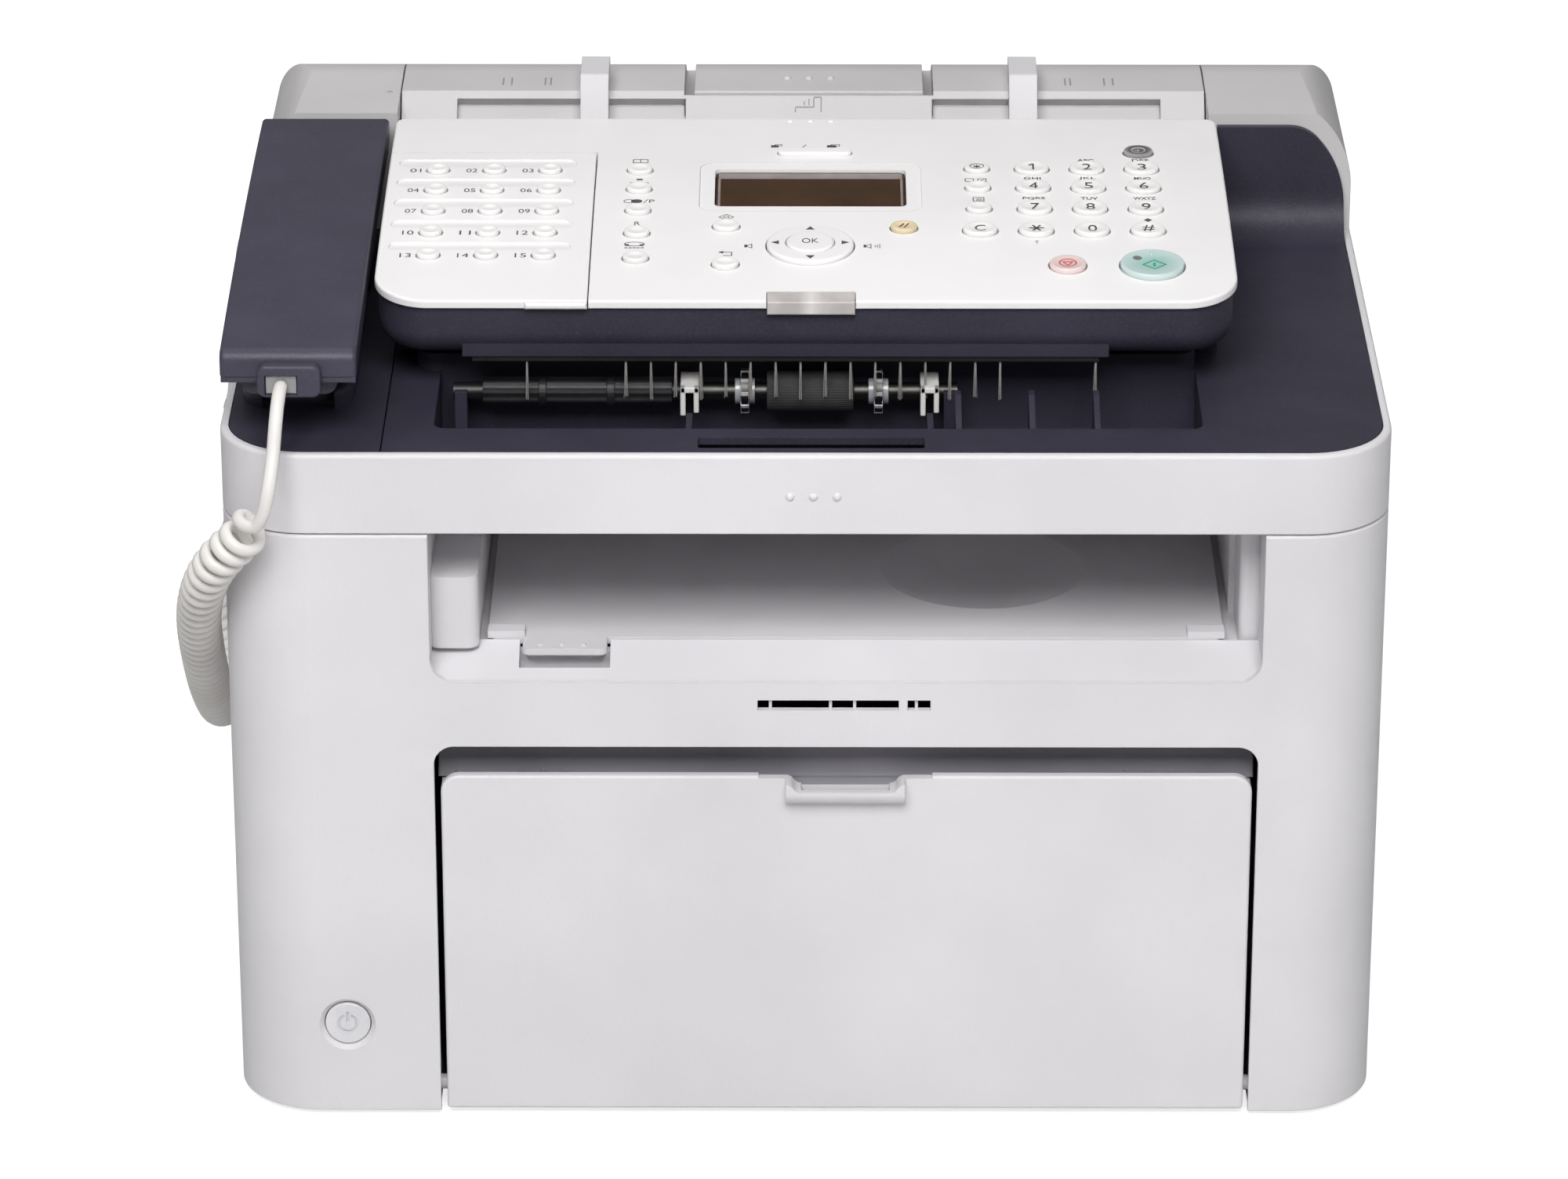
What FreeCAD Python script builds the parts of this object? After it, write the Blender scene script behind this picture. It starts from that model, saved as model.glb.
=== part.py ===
"""Desktop laser fax machine with a handset, as an assembly of separate pieces.

Millimetres, +Z up, +X to the user's right, +Y to the back. The origin is under the middle of the
machine, on the table. Depths are measured back from the front face.
"""
import math
import os

import FreeCAD
import Part

V = FreeCAD.Vector

# Overall sizes
BODY_W = 372.0
BODY_D = 300.0
GRIP_PROUD = 5.0
FACE_Y = (GRIP_PROUD - BODY_D) / 2
HALF_W = BODY_W / 2
CORNER_R = 28.0
REAR_CORNER_R = 16.0
WALL = 2.6
FIT = 0.3

# Heights of the main levels
FOOT_H = 2.0
SEAM_Z = 207.0
SEAM_GAP = 0.6
DECK_Z = 234.0
CREST_Z = 275.8

# Depths of the main lines
WRAP_D = 30.0
COVER_REAR_GAP = 10.0
COVER_REAR_D = BODY_D - COVER_REAR_GAP
CAP_D = 203.0
RIM_IN = 19.0
RIM_W = 18.0
RIM_D = CAP_D + RIM_IN
RIM_REAR_D = RIM_D + RIM_W
RIM_RISE = 1.4

# The crowned top that the panel and the handset share: an arc that is level at its rear end
CREST_D = 198.0
CROWN_R = 1211.0
PRESS_TILT = 3.5

# Paper path: it lies to the right of the machine's middle
PAPER_X = 13.0
OPENING_HALF = 132.0
TRAY_TOP_Z = 133.2
CHUTE_FLOOR_Z = 155.6
CHUTE_R = 8.0
TRAY_R = 6.5
FRAME_T = 2.5
FRAME_OUT = 7.0
FRAME_LEFT = PAPER_X - OPENING_HALF - FRAME_OUT
FRAME_RIGHT = PAPER_X + OPENING_HALF + FRAME_OUT
FRAME_TOP_Z = 198.0
FRAME_FRONT_D = 32.0
FRAME_REAR_GAP = 18.0
FRAME_REAR_D = BODY_D - FRAME_REAR_GAP


def y_at(depth):
    return FACE_Y + depth


def crown(depth):
    """Height of the shared crowned top at a depth."""
    return CREST_Z - (CROWN_R - math.sqrt(CROWN_R ** 2 - (CREST_D - depth) ** 2))


def block(x0, x1, d0, d1, z0, z1):
    return Part.makeBox(x1 - x0, d1 - d0, z1 - z0, V(x0, y_at(d0), z0))


def rod(x0, x1, depth, z, radius):
    """A cylinder along X."""
    return Part.makeCylinder(radius, x1 - x0, V(x0, y_at(depth), z), V(1, 0, 0))


def post(x, depth, z0, z1, radius):
    """A cylinder along Z."""
    return Part.makeCylinder(radius, z1 - z0, V(x, y_at(depth), z0), V(0, 0, 1))


def plug(x, z, d0, d1, radius):
    """A cylinder along Y."""
    return Part.makeCylinder(radius, d1 - d0, V(x, y_at(d0), z), V(0, 1, 0))


def outline(place, start, *steps):
    """A closed face. A step is a point, or a pair of points for an arc through the first to the second."""
    edges = []
    here = start
    for step in list(steps) + [start]:
        if isinstance(step[0], tuple):
            edges.append(Part.Arc(place(here), place(step[0]), place(step[1])).toShape())
            here = step[1]
        elif step != here:
            edges.append(Part.LineSegment(place(here), place(step)).toShape())
            here = step
    return Part.Face(Part.Wire(edges))


def side_prism(x0, x1, start, *steps):
    """An outline in depth and height, extruded along X."""
    face = outline(lambda p: V(x0, y_at(p[0]), p[1]), start, *steps)
    return face.extrude(V(x1 - x0, 0, 0))


def rounded(u0, u1, v0, v1, r_low, r_high):
    """Start and steps of a rectangle whose low and high corners are rounded."""
    k = 1 - math.sqrt(0.5)
    low, high = max(r_low, 0.0), max(r_high, 0.0)
    steps = [(u1 - low, v0)]
    if low:
        steps.append(((u1 - low * k, v0 + low * k), (u1, v0 + low)))
    steps.append((u1, v1 - high))
    if high:
        steps.append(((u1 - high * k, v1 - high * k), (u1 - high, v1)))
    steps.append((u0 + high, v1))
    if high:
        steps.append(((u0 + high * k, v1 - high * k), (u0, v1 - high)))
    steps.append((u0, v0 + low))
    if low:
        steps.append(((u0 + low * k, v0 + low * k), (u0 + low, v0)))
    return [(u0 + low, v0)] + steps


def plan_prism(x0, x1, d0, d1, z0, z1, r_front=0.0, r_rear=0.0):
    """A rounded rectangle seen from above, extruded up."""
    face = outline(lambda p: V(p[0], y_at(p[1]), z0), *rounded(x0, x1, d0, d1, r_front, r_rear))
    return face.extrude(V(0, 0, z1 - z0))


def front_prism(x0, x1, z0, z1, d0, d1, r_low=0.0, r_high=0.0):
    """A rounded rectangle seen from the front, extruded back."""
    face = outline(lambda p: V(p[0], y_at(d0), p[1]), *rounded(x0, x1, z0, z1, r_low, r_high))
    return face.extrude(V(0, d1 - d0, 0))


def body_plan(inset, d0, d1, z0, z1):
    """The machine's outline from above, drawn in by inset, cut to a range of depths."""
    whole = plan_prism(-HALF_W + inset, HALF_W - inset, inset, BODY_D - inset, z0, z1,
                       CORNER_R - inset, REAR_CORNER_R - inset)
    return whole.common(block(-BODY_W, BODY_W, d0, d1, z0 - 1, z1 + 1))


def fuse(first, *others):
    return first.fuse(list(others)).removeSplitter()


def round_edges(shape, radius, wanted):
    """Rounds the edges that the test picks out."""
    return shape.makeFillet(radius, [e for e in shape.Edges if wanted(e)])


def runs_along(axis):
    """An edge test: straight, along X, Y or Z."""
    def test(edge):
        if not isinstance(edge.Curve, Part.Line):
            return False
        direction = edge.Curve.Direction
        return abs(abs((direction.x, direction.y, direction.z)["XYZ".index(axis)]) - 1) < 1e-6
    return test


def export(name, shape):
    os.makedirs("parts", exist_ok=True)
    if not shape.isValid():
        raise ValueError(name + " isn't a valid solid")
    solids = shape.Solids
    shape = solids[0] if len(solids) == 1 else Part.makeCompound(solids)
    shape.exportStep("parts/" + name + ".step")
    return shape


CASE_TOP_Z = SEAM_Z - SEAM_GAP / 2
COVER_BOTTOM_Z = SEAM_Z + SEAM_GAP / 2
TRAY_LEFT = PAPER_X - OPENING_HALF
TRAY_RIGHT = PAPER_X + OPENING_HALF

# Base frame: bottom pan, two side plates, and ears for the tray door's pins
PAN_T = 2.6
PAN_FRONT_D = 16.0
DOOR_AXIS_D = 7.0
DOOR_AXIS_Z = 9.0
DOOR_PIN_R = 2.5
PIN_PLAY = 0.06
EAR_T = 4.7
EAR_H = 14.0
PAN_TOP_Z = FOOT_H + PAN_T
SHAFT_R = 3.0
PICKUP_GAP = 142.0
PICKUP_D = FRAME_REAR_D - PICKUP_GAP
PICKUP_Z = 62.0
FUSER_GAP = 12.0
FUSER_LEN = 52.0
DELIVERY_R = 6.5
ROLL_GAP = 4.0
DELIVERY_D = FRAME_REAR_D - FUSER_GAP - FUSER_LEN - ROLL_GAP - DELIVERY_R
DELIVERY_Z = 191.0

pan = body_plan(WALL + FIT, PAN_FRONT_D, BODY_D - WALL - FIT, FOOT_H, PAN_TOP_Z)
left_plate = block(FRAME_LEFT - FRAME_T, FRAME_LEFT, FRAME_FRONT_D, FRAME_REAR_D, FOOT_H, FRAME_TOP_Z)
right_plate = block(FRAME_RIGHT, FRAME_RIGHT + FRAME_T, FRAME_FRONT_D, FRAME_REAR_D, FOOT_H, FRAME_TOP_Z)
left_ear = block(TRAY_LEFT - EAR_T - FIT, TRAY_LEFT - FIT, WALL + FIT, PAN_FRONT_D + EAR_T, FOOT_H, EAR_H)
right_ear = block(TRAY_RIGHT + FIT, TRAY_RIGHT + EAR_T + FIT, WALL + FIT, PAN_FRONT_D + EAR_T, FOOT_H, EAR_H)
base_frame = fuse(pan, left_plate, right_plate, left_ear, right_ear)
base_frame = base_frame.cut([
    rod(-HALF_W, HALF_W, DOOR_AXIS_D, DOOR_AXIS_Z, DOOR_PIN_R + PIN_PLAY),
    rod(-HALF_W, HALF_W, PICKUP_D, PICKUP_Z, SHAFT_R + PIN_PLAY),
    rod(-HALF_W, HALF_W, DELIVERY_D, DELIVERY_Z, SHAFT_R + PIN_PLAY),
])
export("base_frame", base_frame)

# Rubber feet
FOOT_R = 9.0
FOOT_X = HALF_W - 30.0
FOOT_FRONT_D = 42.0
FOOT_REAR_D = BODY_D - 34.0
feet = [post(side * FOOT_X, depth, 0.0, FOOT_H, FOOT_R)
        for side in (-1, 1) for depth in (FOOT_FRONT_D, FOOT_REAR_D)]
export("rubber_feet", Part.makeCompound(feet))

# Front cover: wraps both front corners; tray opening, vent slot, delivery mouth with its sloping lip
LIP_D = 20.0
LIP_RISE = 6.4
VENT_X0 = -15.3
VENT_X1 = 39.9
VENT_Z = 146.0
VENT_H = 3.6
VENT_RIB = 1.0
VENT_RIB_XS = (-11.2, 8.0, 15.7, 35.4)
VENT_POST = 2.8
VENT_POST_X = 31.2
TAB_X0 = -90.5
TAB_X1 = -63.5
TAB_PLAY = 1.0
TAB_POCKET_D = 7.0
TAB_POCKET_DROP = 5.0
POWER_X = -149.0
POWER_Z = 33.3
POWER_R = 7.35
POWER_BEVEL_R = 9.2
POWER_BOSS_D = 14.0

front = body_plan(0.0, 0.0, WRAP_D, FOOT_H, CASE_TOP_Z)
front = front.cut(body_plan(WALL, WALL, WRAP_D + 1, FOOT_H - 1, CASE_TOP_Z - WALL))
front = round_edges(front, 1.2, lambda e: abs(e.BoundBox.ZMin - CASE_TOP_Z) < 0.01
                    and abs(e.BoundBox.ZMax - CASE_TOP_Z) < 0.01 and e.BoundBox.YMin < y_at(WRAP_D / 2)
                    and e.BoundBox.YMax < y_at(WRAP_D - 1))
lip = side_prism(TRAY_LEFT - CHUTE_R, TRAY_RIGHT + CHUTE_R,
                 (WALL / 2, CHUTE_FLOOR_Z + LIP_RISE * WALL / 2 / LIP_D), (LIP_D, CHUTE_FLOOR_Z + LIP_RISE),
                 (LIP_D, CHUTE_FLOOR_Z + LIP_RISE - WALL), (WALL / 2, CHUTE_FLOOR_Z - WALL))
mouth = front_prism(TRAY_LEFT - 0.5, TRAY_RIGHT + 0.3, CHUTE_FLOOR_Z, CASE_TOP_Z + CHUTE_R * 2,
                    -1.0, WALL + 0.1, CHUTE_R, CHUTE_R)
mouth_deep = block(TRAY_LEFT - 0.5, TRAY_RIGHT + 0.3, WALL, WRAP_D + 1, CASE_TOP_Z - 2 * WALL, CASE_TOP_Z + 1)
tray_mouth = front_prism(TRAY_LEFT, TRAY_RIGHT, FOOT_H - TRAY_R - 1, TRAY_TOP_Z, -1.0, WALL + 1, 0.0, TRAY_R)
vent = block(VENT_X0, VENT_X1, -1.0, WALL + 1, VENT_Z, VENT_Z + VENT_H)
vent_ribs = [block(x - VENT_RIB / 2, x + VENT_RIB / 2, WALL / 2, WALL, VENT_Z - 0.5, VENT_Z + VENT_H + 0.5)
             for x in VENT_RIB_XS]
vent_post = block(VENT_POST_X - VENT_POST / 2, VENT_POST_X + VENT_POST / 2, 0.0, WALL, VENT_Z - 0.5,
                  VENT_Z + VENT_H + 0.5)
pocket_x0 = TAB_X0 - TAB_PLAY
pocket_x1 = TAB_X1 + TAB_PLAY
pocket_z = CHUTE_FLOOR_Z - TAB_POCKET_DROP
pocket_case = block(pocket_x0 - WALL, pocket_x1 + WALL, TAB_POCKET_D - WALL, LIP_D, pocket_z - WALL,
                    CHUTE_FLOOR_Z)
pocket_back = block(pocket_x0 - WALL, pocket_x1 + WALL, LIP_D - WALL, LIP_D, pocket_z,
                    CHUTE_FLOOR_Z + LIP_RISE - WALL)
boss = plug(POWER_X, POWER_Z, WALL / 2, POWER_BOSS_D, POWER_BEVEL_R + WALL / 2)
bore = plug(POWER_X, POWER_Z, -1.0, POWER_BOSS_D + 1, POWER_R + FIT)
bevel = Part.makeCone(POWER_BEVEL_R, POWER_R + FIT, POWER_BEVEL_R - POWER_R,
                      V(POWER_X, y_at(-0.01), POWER_Z), V(0, 1, 0))
front = front.cut([mouth, mouth_deep, tray_mouth, vent])
front = fuse(front, lip, boss, vent_post, pocket_case, pocket_back, *vent_ribs)
pocket = block(pocket_x0, pocket_x1, TAB_POCKET_D, LIP_D - WALL, pocket_z, CHUTE_FLOOR_Z + LIP_RISE)
tab_room = block(pocket_x0, pocket_x1, LIP_D - WALL - 1, LIP_D + 1, CHUTE_FLOOR_Z + LIP_RISE - WALL,
                 CHUTE_FLOOR_Z + LIP_RISE + 1)
front = front.cut([bore, bevel, pocket, tab_room])
export("front_cover", front)

# Side covers: flat panels with a flange inwards at the top, lower at the back for the cover's hinge
HINGE_IN = 7.0
HINGE_UP = 5.5
HINGE_D = COVER_REAR_D - HINGE_IN
HINGE_Z = SEAM_Z + HINGE_UP
HINGE_SWEEP = 10.0
HINGE_DROP = 5.0
HINGE_LOW_Z = SEAM_Z - HINGE_DROP
REAR_WRAP_D = BODY_D - REAR_CORNER_R
SIDE_PROUD = 0.3
FLANGE_IN = 40.0
SIDE_GAP = 0.4

for side, node, frame_x in ((-1, "left_cover", FRAME_LEFT), (1, "right_cover", FRAME_RIGHT)):
    outer = HALF_W + SIDE_PROUD
    panel_x = sorted((side * outer, side * (HALF_W - WALL)))
    inner_x = frame_x + side * (FRAME_T + FIT)
    flange_x = sorted((side * (HALF_W - WALL / 2), inner_x))
    flange_d = (WRAP_D + SIDE_GAP, HINGE_D - HINGE_SWEEP)
    skin = block(panel_x[0], panel_x[1], WRAP_D + SIDE_GAP, REAR_WRAP_D - SIDE_GAP, FOOT_H, CASE_TOP_Z)
    flange = block(flange_x[0], flange_x[1], flange_d[0], flange_d[1], CASE_TOP_Z - WALL, CASE_TOP_Z)
    step = block(-BODY_W, BODY_W, HINGE_D - HINGE_SWEEP, BODY_D, HINGE_LOW_Z, CASE_TOP_Z + 1)
    export(node, fuse(skin, flange).cut(step))

# Rear cover: wraps both rear corners, with windows for the sockets and a grille
INLET_W = 27.0
INLET_IN = 7.0
INLET_X1 = FRAME_RIGHT - INLET_IN
INLET_X0 = INLET_X1 - INLET_W
INLET_Z0 = 26.0
INLET_Z1 = 48.0
JACK_W = 52.0
JACK_OUT = 24.0
JACK_X0 = FRAME_LEFT - JACK_OUT
JACK_X1 = JACK_X0 + JACK_W
JACK_Z0 = 60.0
JACK_Z1 = 76.0
GRILLE_SLOTS = 9
GRILLE_PITCH = 7.0
GRILLE_X0 = 20.0
GRILLE_X1 = 90.0
GRILLE_Z0 = 90.0
rear = body_plan(0.0, REAR_WRAP_D, BODY_D, FOOT_H, HINGE_LOW_Z)
rear = rear.cut(body_plan(WALL, REAR_WRAP_D - 1, BODY_D - WALL, FOOT_H - 1, HINGE_LOW_Z - WALL))
slots = [front_prism(GRILLE_X0, GRILLE_X1, GRILLE_Z0 + k * GRILLE_PITCH, GRILLE_Z0 + (k + 0.5) * GRILLE_PITCH,
                     BODY_D - 2 * WALL, BODY_D + 1, 1.6, 1.6) for k in range(GRILLE_SLOTS)]
windows = [block(INLET_X0, INLET_X1, BODY_D - 2 * WALL, BODY_D + 1, INLET_Z0, INLET_Z1),
           block(JACK_X0, JACK_X1, BODY_D - 2 * WALL, BODY_D + 1, JACK_Z0, JACK_Z1)]
HINGE_OUT = 5.5
HINGE_X = FRAME_RIGHT + FRAME_T + HINGE_OUT
EAR_HALF = 2.0
notches = [block(side * HINGE_X - EAR_HALF - 1, side * HINGE_X + EAR_HALF + 1, REAR_WRAP_D - 1, HINGE_D + 9,
                 HINGE_LOW_Z - WALL - 1, HINGE_LOW_Z + 1) for side in (-1, 1)]
export("rear_cover", rear.cut(slots + windows + notches))

# Cover hinge brackets: one on each side plate, an ear with a bore at the top
ARM_H = 18.0
ARM_LEN = 20.0
ARM_Z1 = FRAME_TOP_Z - EAR_HALF
ARM_Z0 = ARM_Z1 - ARM_H
ARM_D0 = FRAME_REAR_D - ARM_LEN
EAR_R = 6.0
HINGE_PIN_R = 3.0
brackets = []
for side, frame_x in ((-1, FRAME_LEFT - FRAME_T), (1, FRAME_RIGHT + FRAME_T)):
    ear_x = (side * HINGE_X - EAR_HALF, side * HINGE_X + EAR_HALF)
    arm_x = sorted((frame_x, side * (HINGE_X + EAR_HALF)))
    arm = block(arm_x[0], arm_x[1], ARM_D0, FRAME_REAR_D, ARM_Z0, ARM_Z1)
    neck = block(ear_x[0], ear_x[1], min(HINGE_D, FRAME_REAR_D) - EAR_R, HINGE_D + EAR_R, ARM_Z0, HINGE_Z)
    eye = rod(ear_x[0], ear_x[1], HINGE_D, HINGE_Z, EAR_R)
    hole = rod(ear_x[0] - 1, ear_x[1] + 1, HINGE_D, HINGE_Z, HINGE_PIN_R + PIN_PLAY)
    brackets.append(fuse(arm, neck, eye).cut(hole))
export("hinge_brackets", Part.makeCompound(brackets))

# Delivery liner: walls and ledges of the paper outlet, bores for the toner cover's pins
LINER_Z0 = 150.0
LINER_Z1 = CASE_TOP_Z - WALL - FIT
LINER_GAP = 1.0
LINER_REAR_D = DELIVERY_D - DELIVERY_R - LINER_GAP
LEDGE_Z = 160.0
PLATE_T = 2.4
PLATE_Z = LEDGE_Z + FIT
PLATE_X0 = -102.0
PLATE_X1 = 134.5
INNER_LEFT = PLATE_X0 - 2.4
INNER_RIGHT = PLATE_X1 + 2.4
WING_D = 46.0
RIB_D = 12.0
RIB_TOP_Z = 187.0
FLAP_IN = 8.0
FLAP_DROP = 2.5
FLAP_AXIS_D = LINER_REAR_D - FLAP_IN
FLAP_AXIS_Z = LEDGE_Z - FLAP_DROP
FLAP_PIN_R = 2.0
LEDGE_CLEAR = 12.0
LEDGE_END_D = FLAP_AXIS_D - LEDGE_CLEAR
EXIT_Z = 180.0
mouth_x0 = TRAY_LEFT - 0.5
mouth_x1 = TRAY_RIGHT + 0.3
wall_l = block(FRAME_LEFT + FIT, mouth_x0, WALL + FIT, LINER_REAR_D, LINER_Z0, LINER_Z1)
wall_r = block(mouth_x1, FRAME_RIGHT - FIT, WALL + FIT, LINER_REAR_D, LINER_Z0, LINER_Z1)
wall_l = wall_l.cut(block(-HALF_W, mouth_x0 + 1, 0, LIP_D + FIT, 0, CHUTE_FLOOR_Z + LIP_RISE + FIT))
wall_r = wall_r.cut(block(mouth_x1 - 1, HALF_W, 0, LIP_D + FIT, 0, CHUTE_FLOOR_Z + LIP_RISE + FIT))
ledge_l = block(mouth_x0 - 1, PLATE_X0 + 3, LIP_D + FIT, LEDGE_END_D, LEDGE_Z - WALL, LEDGE_Z)
ledge_r = block(PLATE_X1 - 3, mouth_x1 + 1, LIP_D + FIT, LEDGE_END_D, LEDGE_Z - WALL, LEDGE_Z)
wing_l = block(mouth_x0 - 1, INNER_LEFT, WING_D, LINER_REAR_D, LINER_Z0, LINER_Z1)
wing_r = block(INNER_RIGHT, mouth_x1 + 1, WING_D, LINER_REAR_D, LINER_Z0, LINER_Z1)
rib_l = plan_prism(mouth_x0 - 1, INNER_LEFT, RIB_D, WING_D + 1, CHUTE_FLOOR_Z + LIP_RISE + FIT, RIB_TOP_Z,
                   4.0)
rib_r = plan_prism(INNER_RIGHT + 2, mouth_x1 + 1, RIB_D + 9, WING_D + 1, LEDGE_Z - WALL, LINER_Z1, 3.0)
back = block(FRAME_LEFT + FIT, FRAME_RIGHT - FIT, LINER_REAR_D - WALL, LINER_REAR_D, LINER_Z0, EXIT_Z)
liner = fuse(wall_l, wall_r, ledge_l, ledge_r, wing_l, wing_r, rib_l, rib_r, back)
liner = liner.cut(rod(-HALF_W, HALF_W, FLAP_AXIS_D, FLAP_AXIS_Z, FLAP_PIN_R + PIN_PLAY))
export("delivery_liner", liner)

# Toner cover: floor plate of the paper outlet, lifted by its tab, with a dished finger well
PLATE_TOP_Z = PLATE_Z + PLATE_T
TAB_D = 11.0
WELL_X = 58.0
WELL_R = 33.5
WELL_D = 43.0 + WELL_R
WELL_DEPTH = 5.5
EAR_LEN = 12.0
plate = plan_prism(PLATE_X0, PLATE_X1, LIP_D + FIT, FLAP_AXIS_D + 4, PLATE_Z, PLATE_TOP_Z, 3.0, 1.0)
tab = plan_prism(TAB_X0, TAB_X1, TAB_D, LIP_D + 4, PLATE_Z, PLATE_TOP_Z, 2.5)
cup = post(WELL_X, WELL_D, PLATE_Z - WELL_DEPTH, PLATE_TOP_Z, WELL_R + 1.5)
dish_r = (WELL_R ** 2 + WELL_DEPTH ** 2) / (2 * WELL_DEPTH)
dish = Part.makeSphere(dish_r, V(WELL_X, y_at(WELL_D), PLATE_TOP_Z + dish_r - WELL_DEPTH))
lugs = []
for x0, x1, pin0, pin1 in ((PLATE_X0, PLATE_X0 + 4, INNER_LEFT - 4, PLATE_X0 + 1),
                           (PLATE_X1 - 4, PLATE_X1, PLATE_X1 - 1, INNER_RIGHT + 4)):
    lugs.append(block(x0, x1, FLAP_AXIS_D - 4, FLAP_AXIS_D + 4, FLAP_AXIS_Z - 3, PLATE_TOP_Z - 0.5))
    lugs.append(rod(pin0, pin1, FLAP_AXIS_D, FLAP_AXIS_Z, FLAP_PIN_R))
ears = [block(x, x + EAR_LEN, LIP_D + FIT, LIP_D + 6, PLATE_TOP_Z - 0.5, PLATE_TOP_Z + 2.0)
        for x in (PLATE_X0, PLATE_X1 - EAR_LEN)]
export("toner_cover", fuse(plate, tab, cup, *lugs, *ears).cut(dish))

# Tray door: front plate with side flanges, pins at the bottom, a scooped top edge and a grip lip
DOOR_X0 = TRAY_LEFT + 2.0
DOOR_X1 = TRAY_RIGHT - 1.7
DOOR_TOP_Z = 122.9
DOOR_BOTTOM_Z = FOOT_H + 0.6
DOOR_T = 3.0
DOOR_R = 6.0
FLANGE_D = 15.0
FLANGE_T = 2.4
GRIP_X0 = -6.3
GRIP_X1 = 32.0
GRIP_Z0 = 113.6
SCOOP_X0 = -15.0
SCOOP_X1 = 40.7
SCOOP_DROP = 0.8
DIP_W = 5.0
DIP_DROP = 3.6
DIP_FLOOR = 2.0
DUST_D = 18.0
DUST_AXIS_Z = 42.0
DUST_PIN_R = 1.8
skin = front_prism(DOOR_X0, DOOR_X1, DOOR_BOTTOM_Z, DOOR_TOP_Z, 0.0, DOOR_T, 1.0, DOOR_R)
skin = round_edges(skin, 1.0, lambda e: e.BoundBox.YMax < y_at(0.01))
door_sides = []
for x0, x1 in ((DOOR_X0, DOOR_X0 + FLANGE_T), (DOOR_X1 - FLANGE_T, DOOR_X1)):
    door_sides.append(block(x0, x1, DOOR_T / 2, FLANGE_D, DOOR_AXIS_Z - 3, DOOR_TOP_Z - DOOR_R))
    door_sides.append(block(x0, x1, DOOR_T / 2, DUST_D + 4, DUST_AXIS_Z - 4, DUST_AXIS_Z + 4))
door_pins = [rod(DOOR_X0 - EAR_T - 1.5, DOOR_X0 + 1, DOOR_AXIS_D, DOOR_AXIS_Z, DOOR_PIN_R),
             rod(DOOR_X1 - 1, DOOR_X1 + EAR_T + 1.5, DOOR_AXIS_D, DOOR_AXIS_Z, DOOR_PIN_R)]
shelf = block(DOOR_X0, DOOR_X1, DOOR_T / 2, FLANGE_D - 4, DOOR_TOP_Z - DOOR_R - 4, DOOR_TOP_Z - DOOR_R - 2)
grip = side_prism(GRIP_X0, GRIP_X1, (DOOR_T / 2, GRIP_Z0), (-2.0, GRIP_Z0 + 0.8),
                  ((-4.0, GRIP_Z0 + 2.2), (-GRIP_PROUD, GRIP_Z0 + 4.6)), (-GRIP_PROUD, DOOR_TOP_Z - 1.5),
                  ((-GRIP_PROUD + 0.44, DOOR_TOP_Z - 0.44), (-GRIP_PROUD + 1.5, DOOR_TOP_Z)),
                  (DOOR_T / 2, DOOR_TOP_Z))
door = fuse(skin, shelf, grip, *door_sides, *door_pins)
edge_z = DOOR_TOP_Z - SCOOP_DROP
dip_z = DOOR_TOP_Z - DIP_DROP
fall = (edge_z - dip_z) / 2
bend_r = (DIP_W ** 2 / 4 + fall ** 2) / (2 * fall)
half_turn = math.asin(DIP_W / 2 / bend_r) / 2
bend_x = bend_r * math.sin(half_turn)
bend_z = bend_r * (1 - math.cos(half_turn))
mid_l = (GRIP_X0 + DIP_W / 2, edge_z - fall)
mid_r = (GRIP_X1 - DIP_W / 2, edge_z - fall)
scoop = outline(lambda p: V(p[0], y_at(-2 * GRIP_PROUD), p[1]), (SCOOP_X0, DOOR_TOP_Z + DOOR_T),
                (SCOOP_X0, edge_z),
                (GRIP_X0, edge_z), ((GRIP_X0 + bend_x, edge_z - bend_z), mid_l),
                ((GRIP_X0 + DIP_W - bend_x, dip_z + bend_z), (GRIP_X0 + DIP_W, dip_z)),
                (GRIP_X1 - DIP_W, dip_z),
                ((GRIP_X1 - DIP_W + bend_x, dip_z + bend_z), mid_r),
                ((GRIP_X1 - bend_x, edge_z - bend_z), (GRIP_X1, edge_z)),
                (SCOOP_X1, edge_z), (SCOOP_X1, DOOR_TOP_Z + DOOR_T))
door = door.cut([
    scoop.extrude(V(0, 4 * GRIP_PROUD, 0)),
    front_prism(GRIP_X0 + DIP_W, GRIP_X1 - DIP_W, dip_z - DIP_FLOOR, DOOR_TOP_Z, -GRIP_PROUD + 2.2,
                DOOR_T + 2, 1.5),
    rod(DOOR_X0 - 1, DOOR_X1 + 1, DUST_D, DUST_AXIS_Z, DUST_PIN_R + PIN_PLAY),
])
export("tray_door", door)

# Dust cover: smoked sheet over the paper, hinged low on the inside of the tray door
DUST_TOP_Z = 129.5
DUST_T = 2.2
dust_x0 = DOOR_X0 + FLANGE_T + 0.8
dust_x1 = DOOR_X1 - FLANGE_T - 0.8
sheet = front_prism(dust_x0, dust_x1, DUST_AXIS_Z - 2, DUST_TOP_Z, DUST_D - DUST_T / 2, DUST_D + DUST_T / 2,
                    1.0, 5.0)
sheet_pin = rod(dust_x0 - 3.0, dust_x1 + 3.0, DUST_D, DUST_AXIS_Z, DUST_PIN_R)
export("dust_cover", fuse(sheet, sheet_pin))

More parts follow.
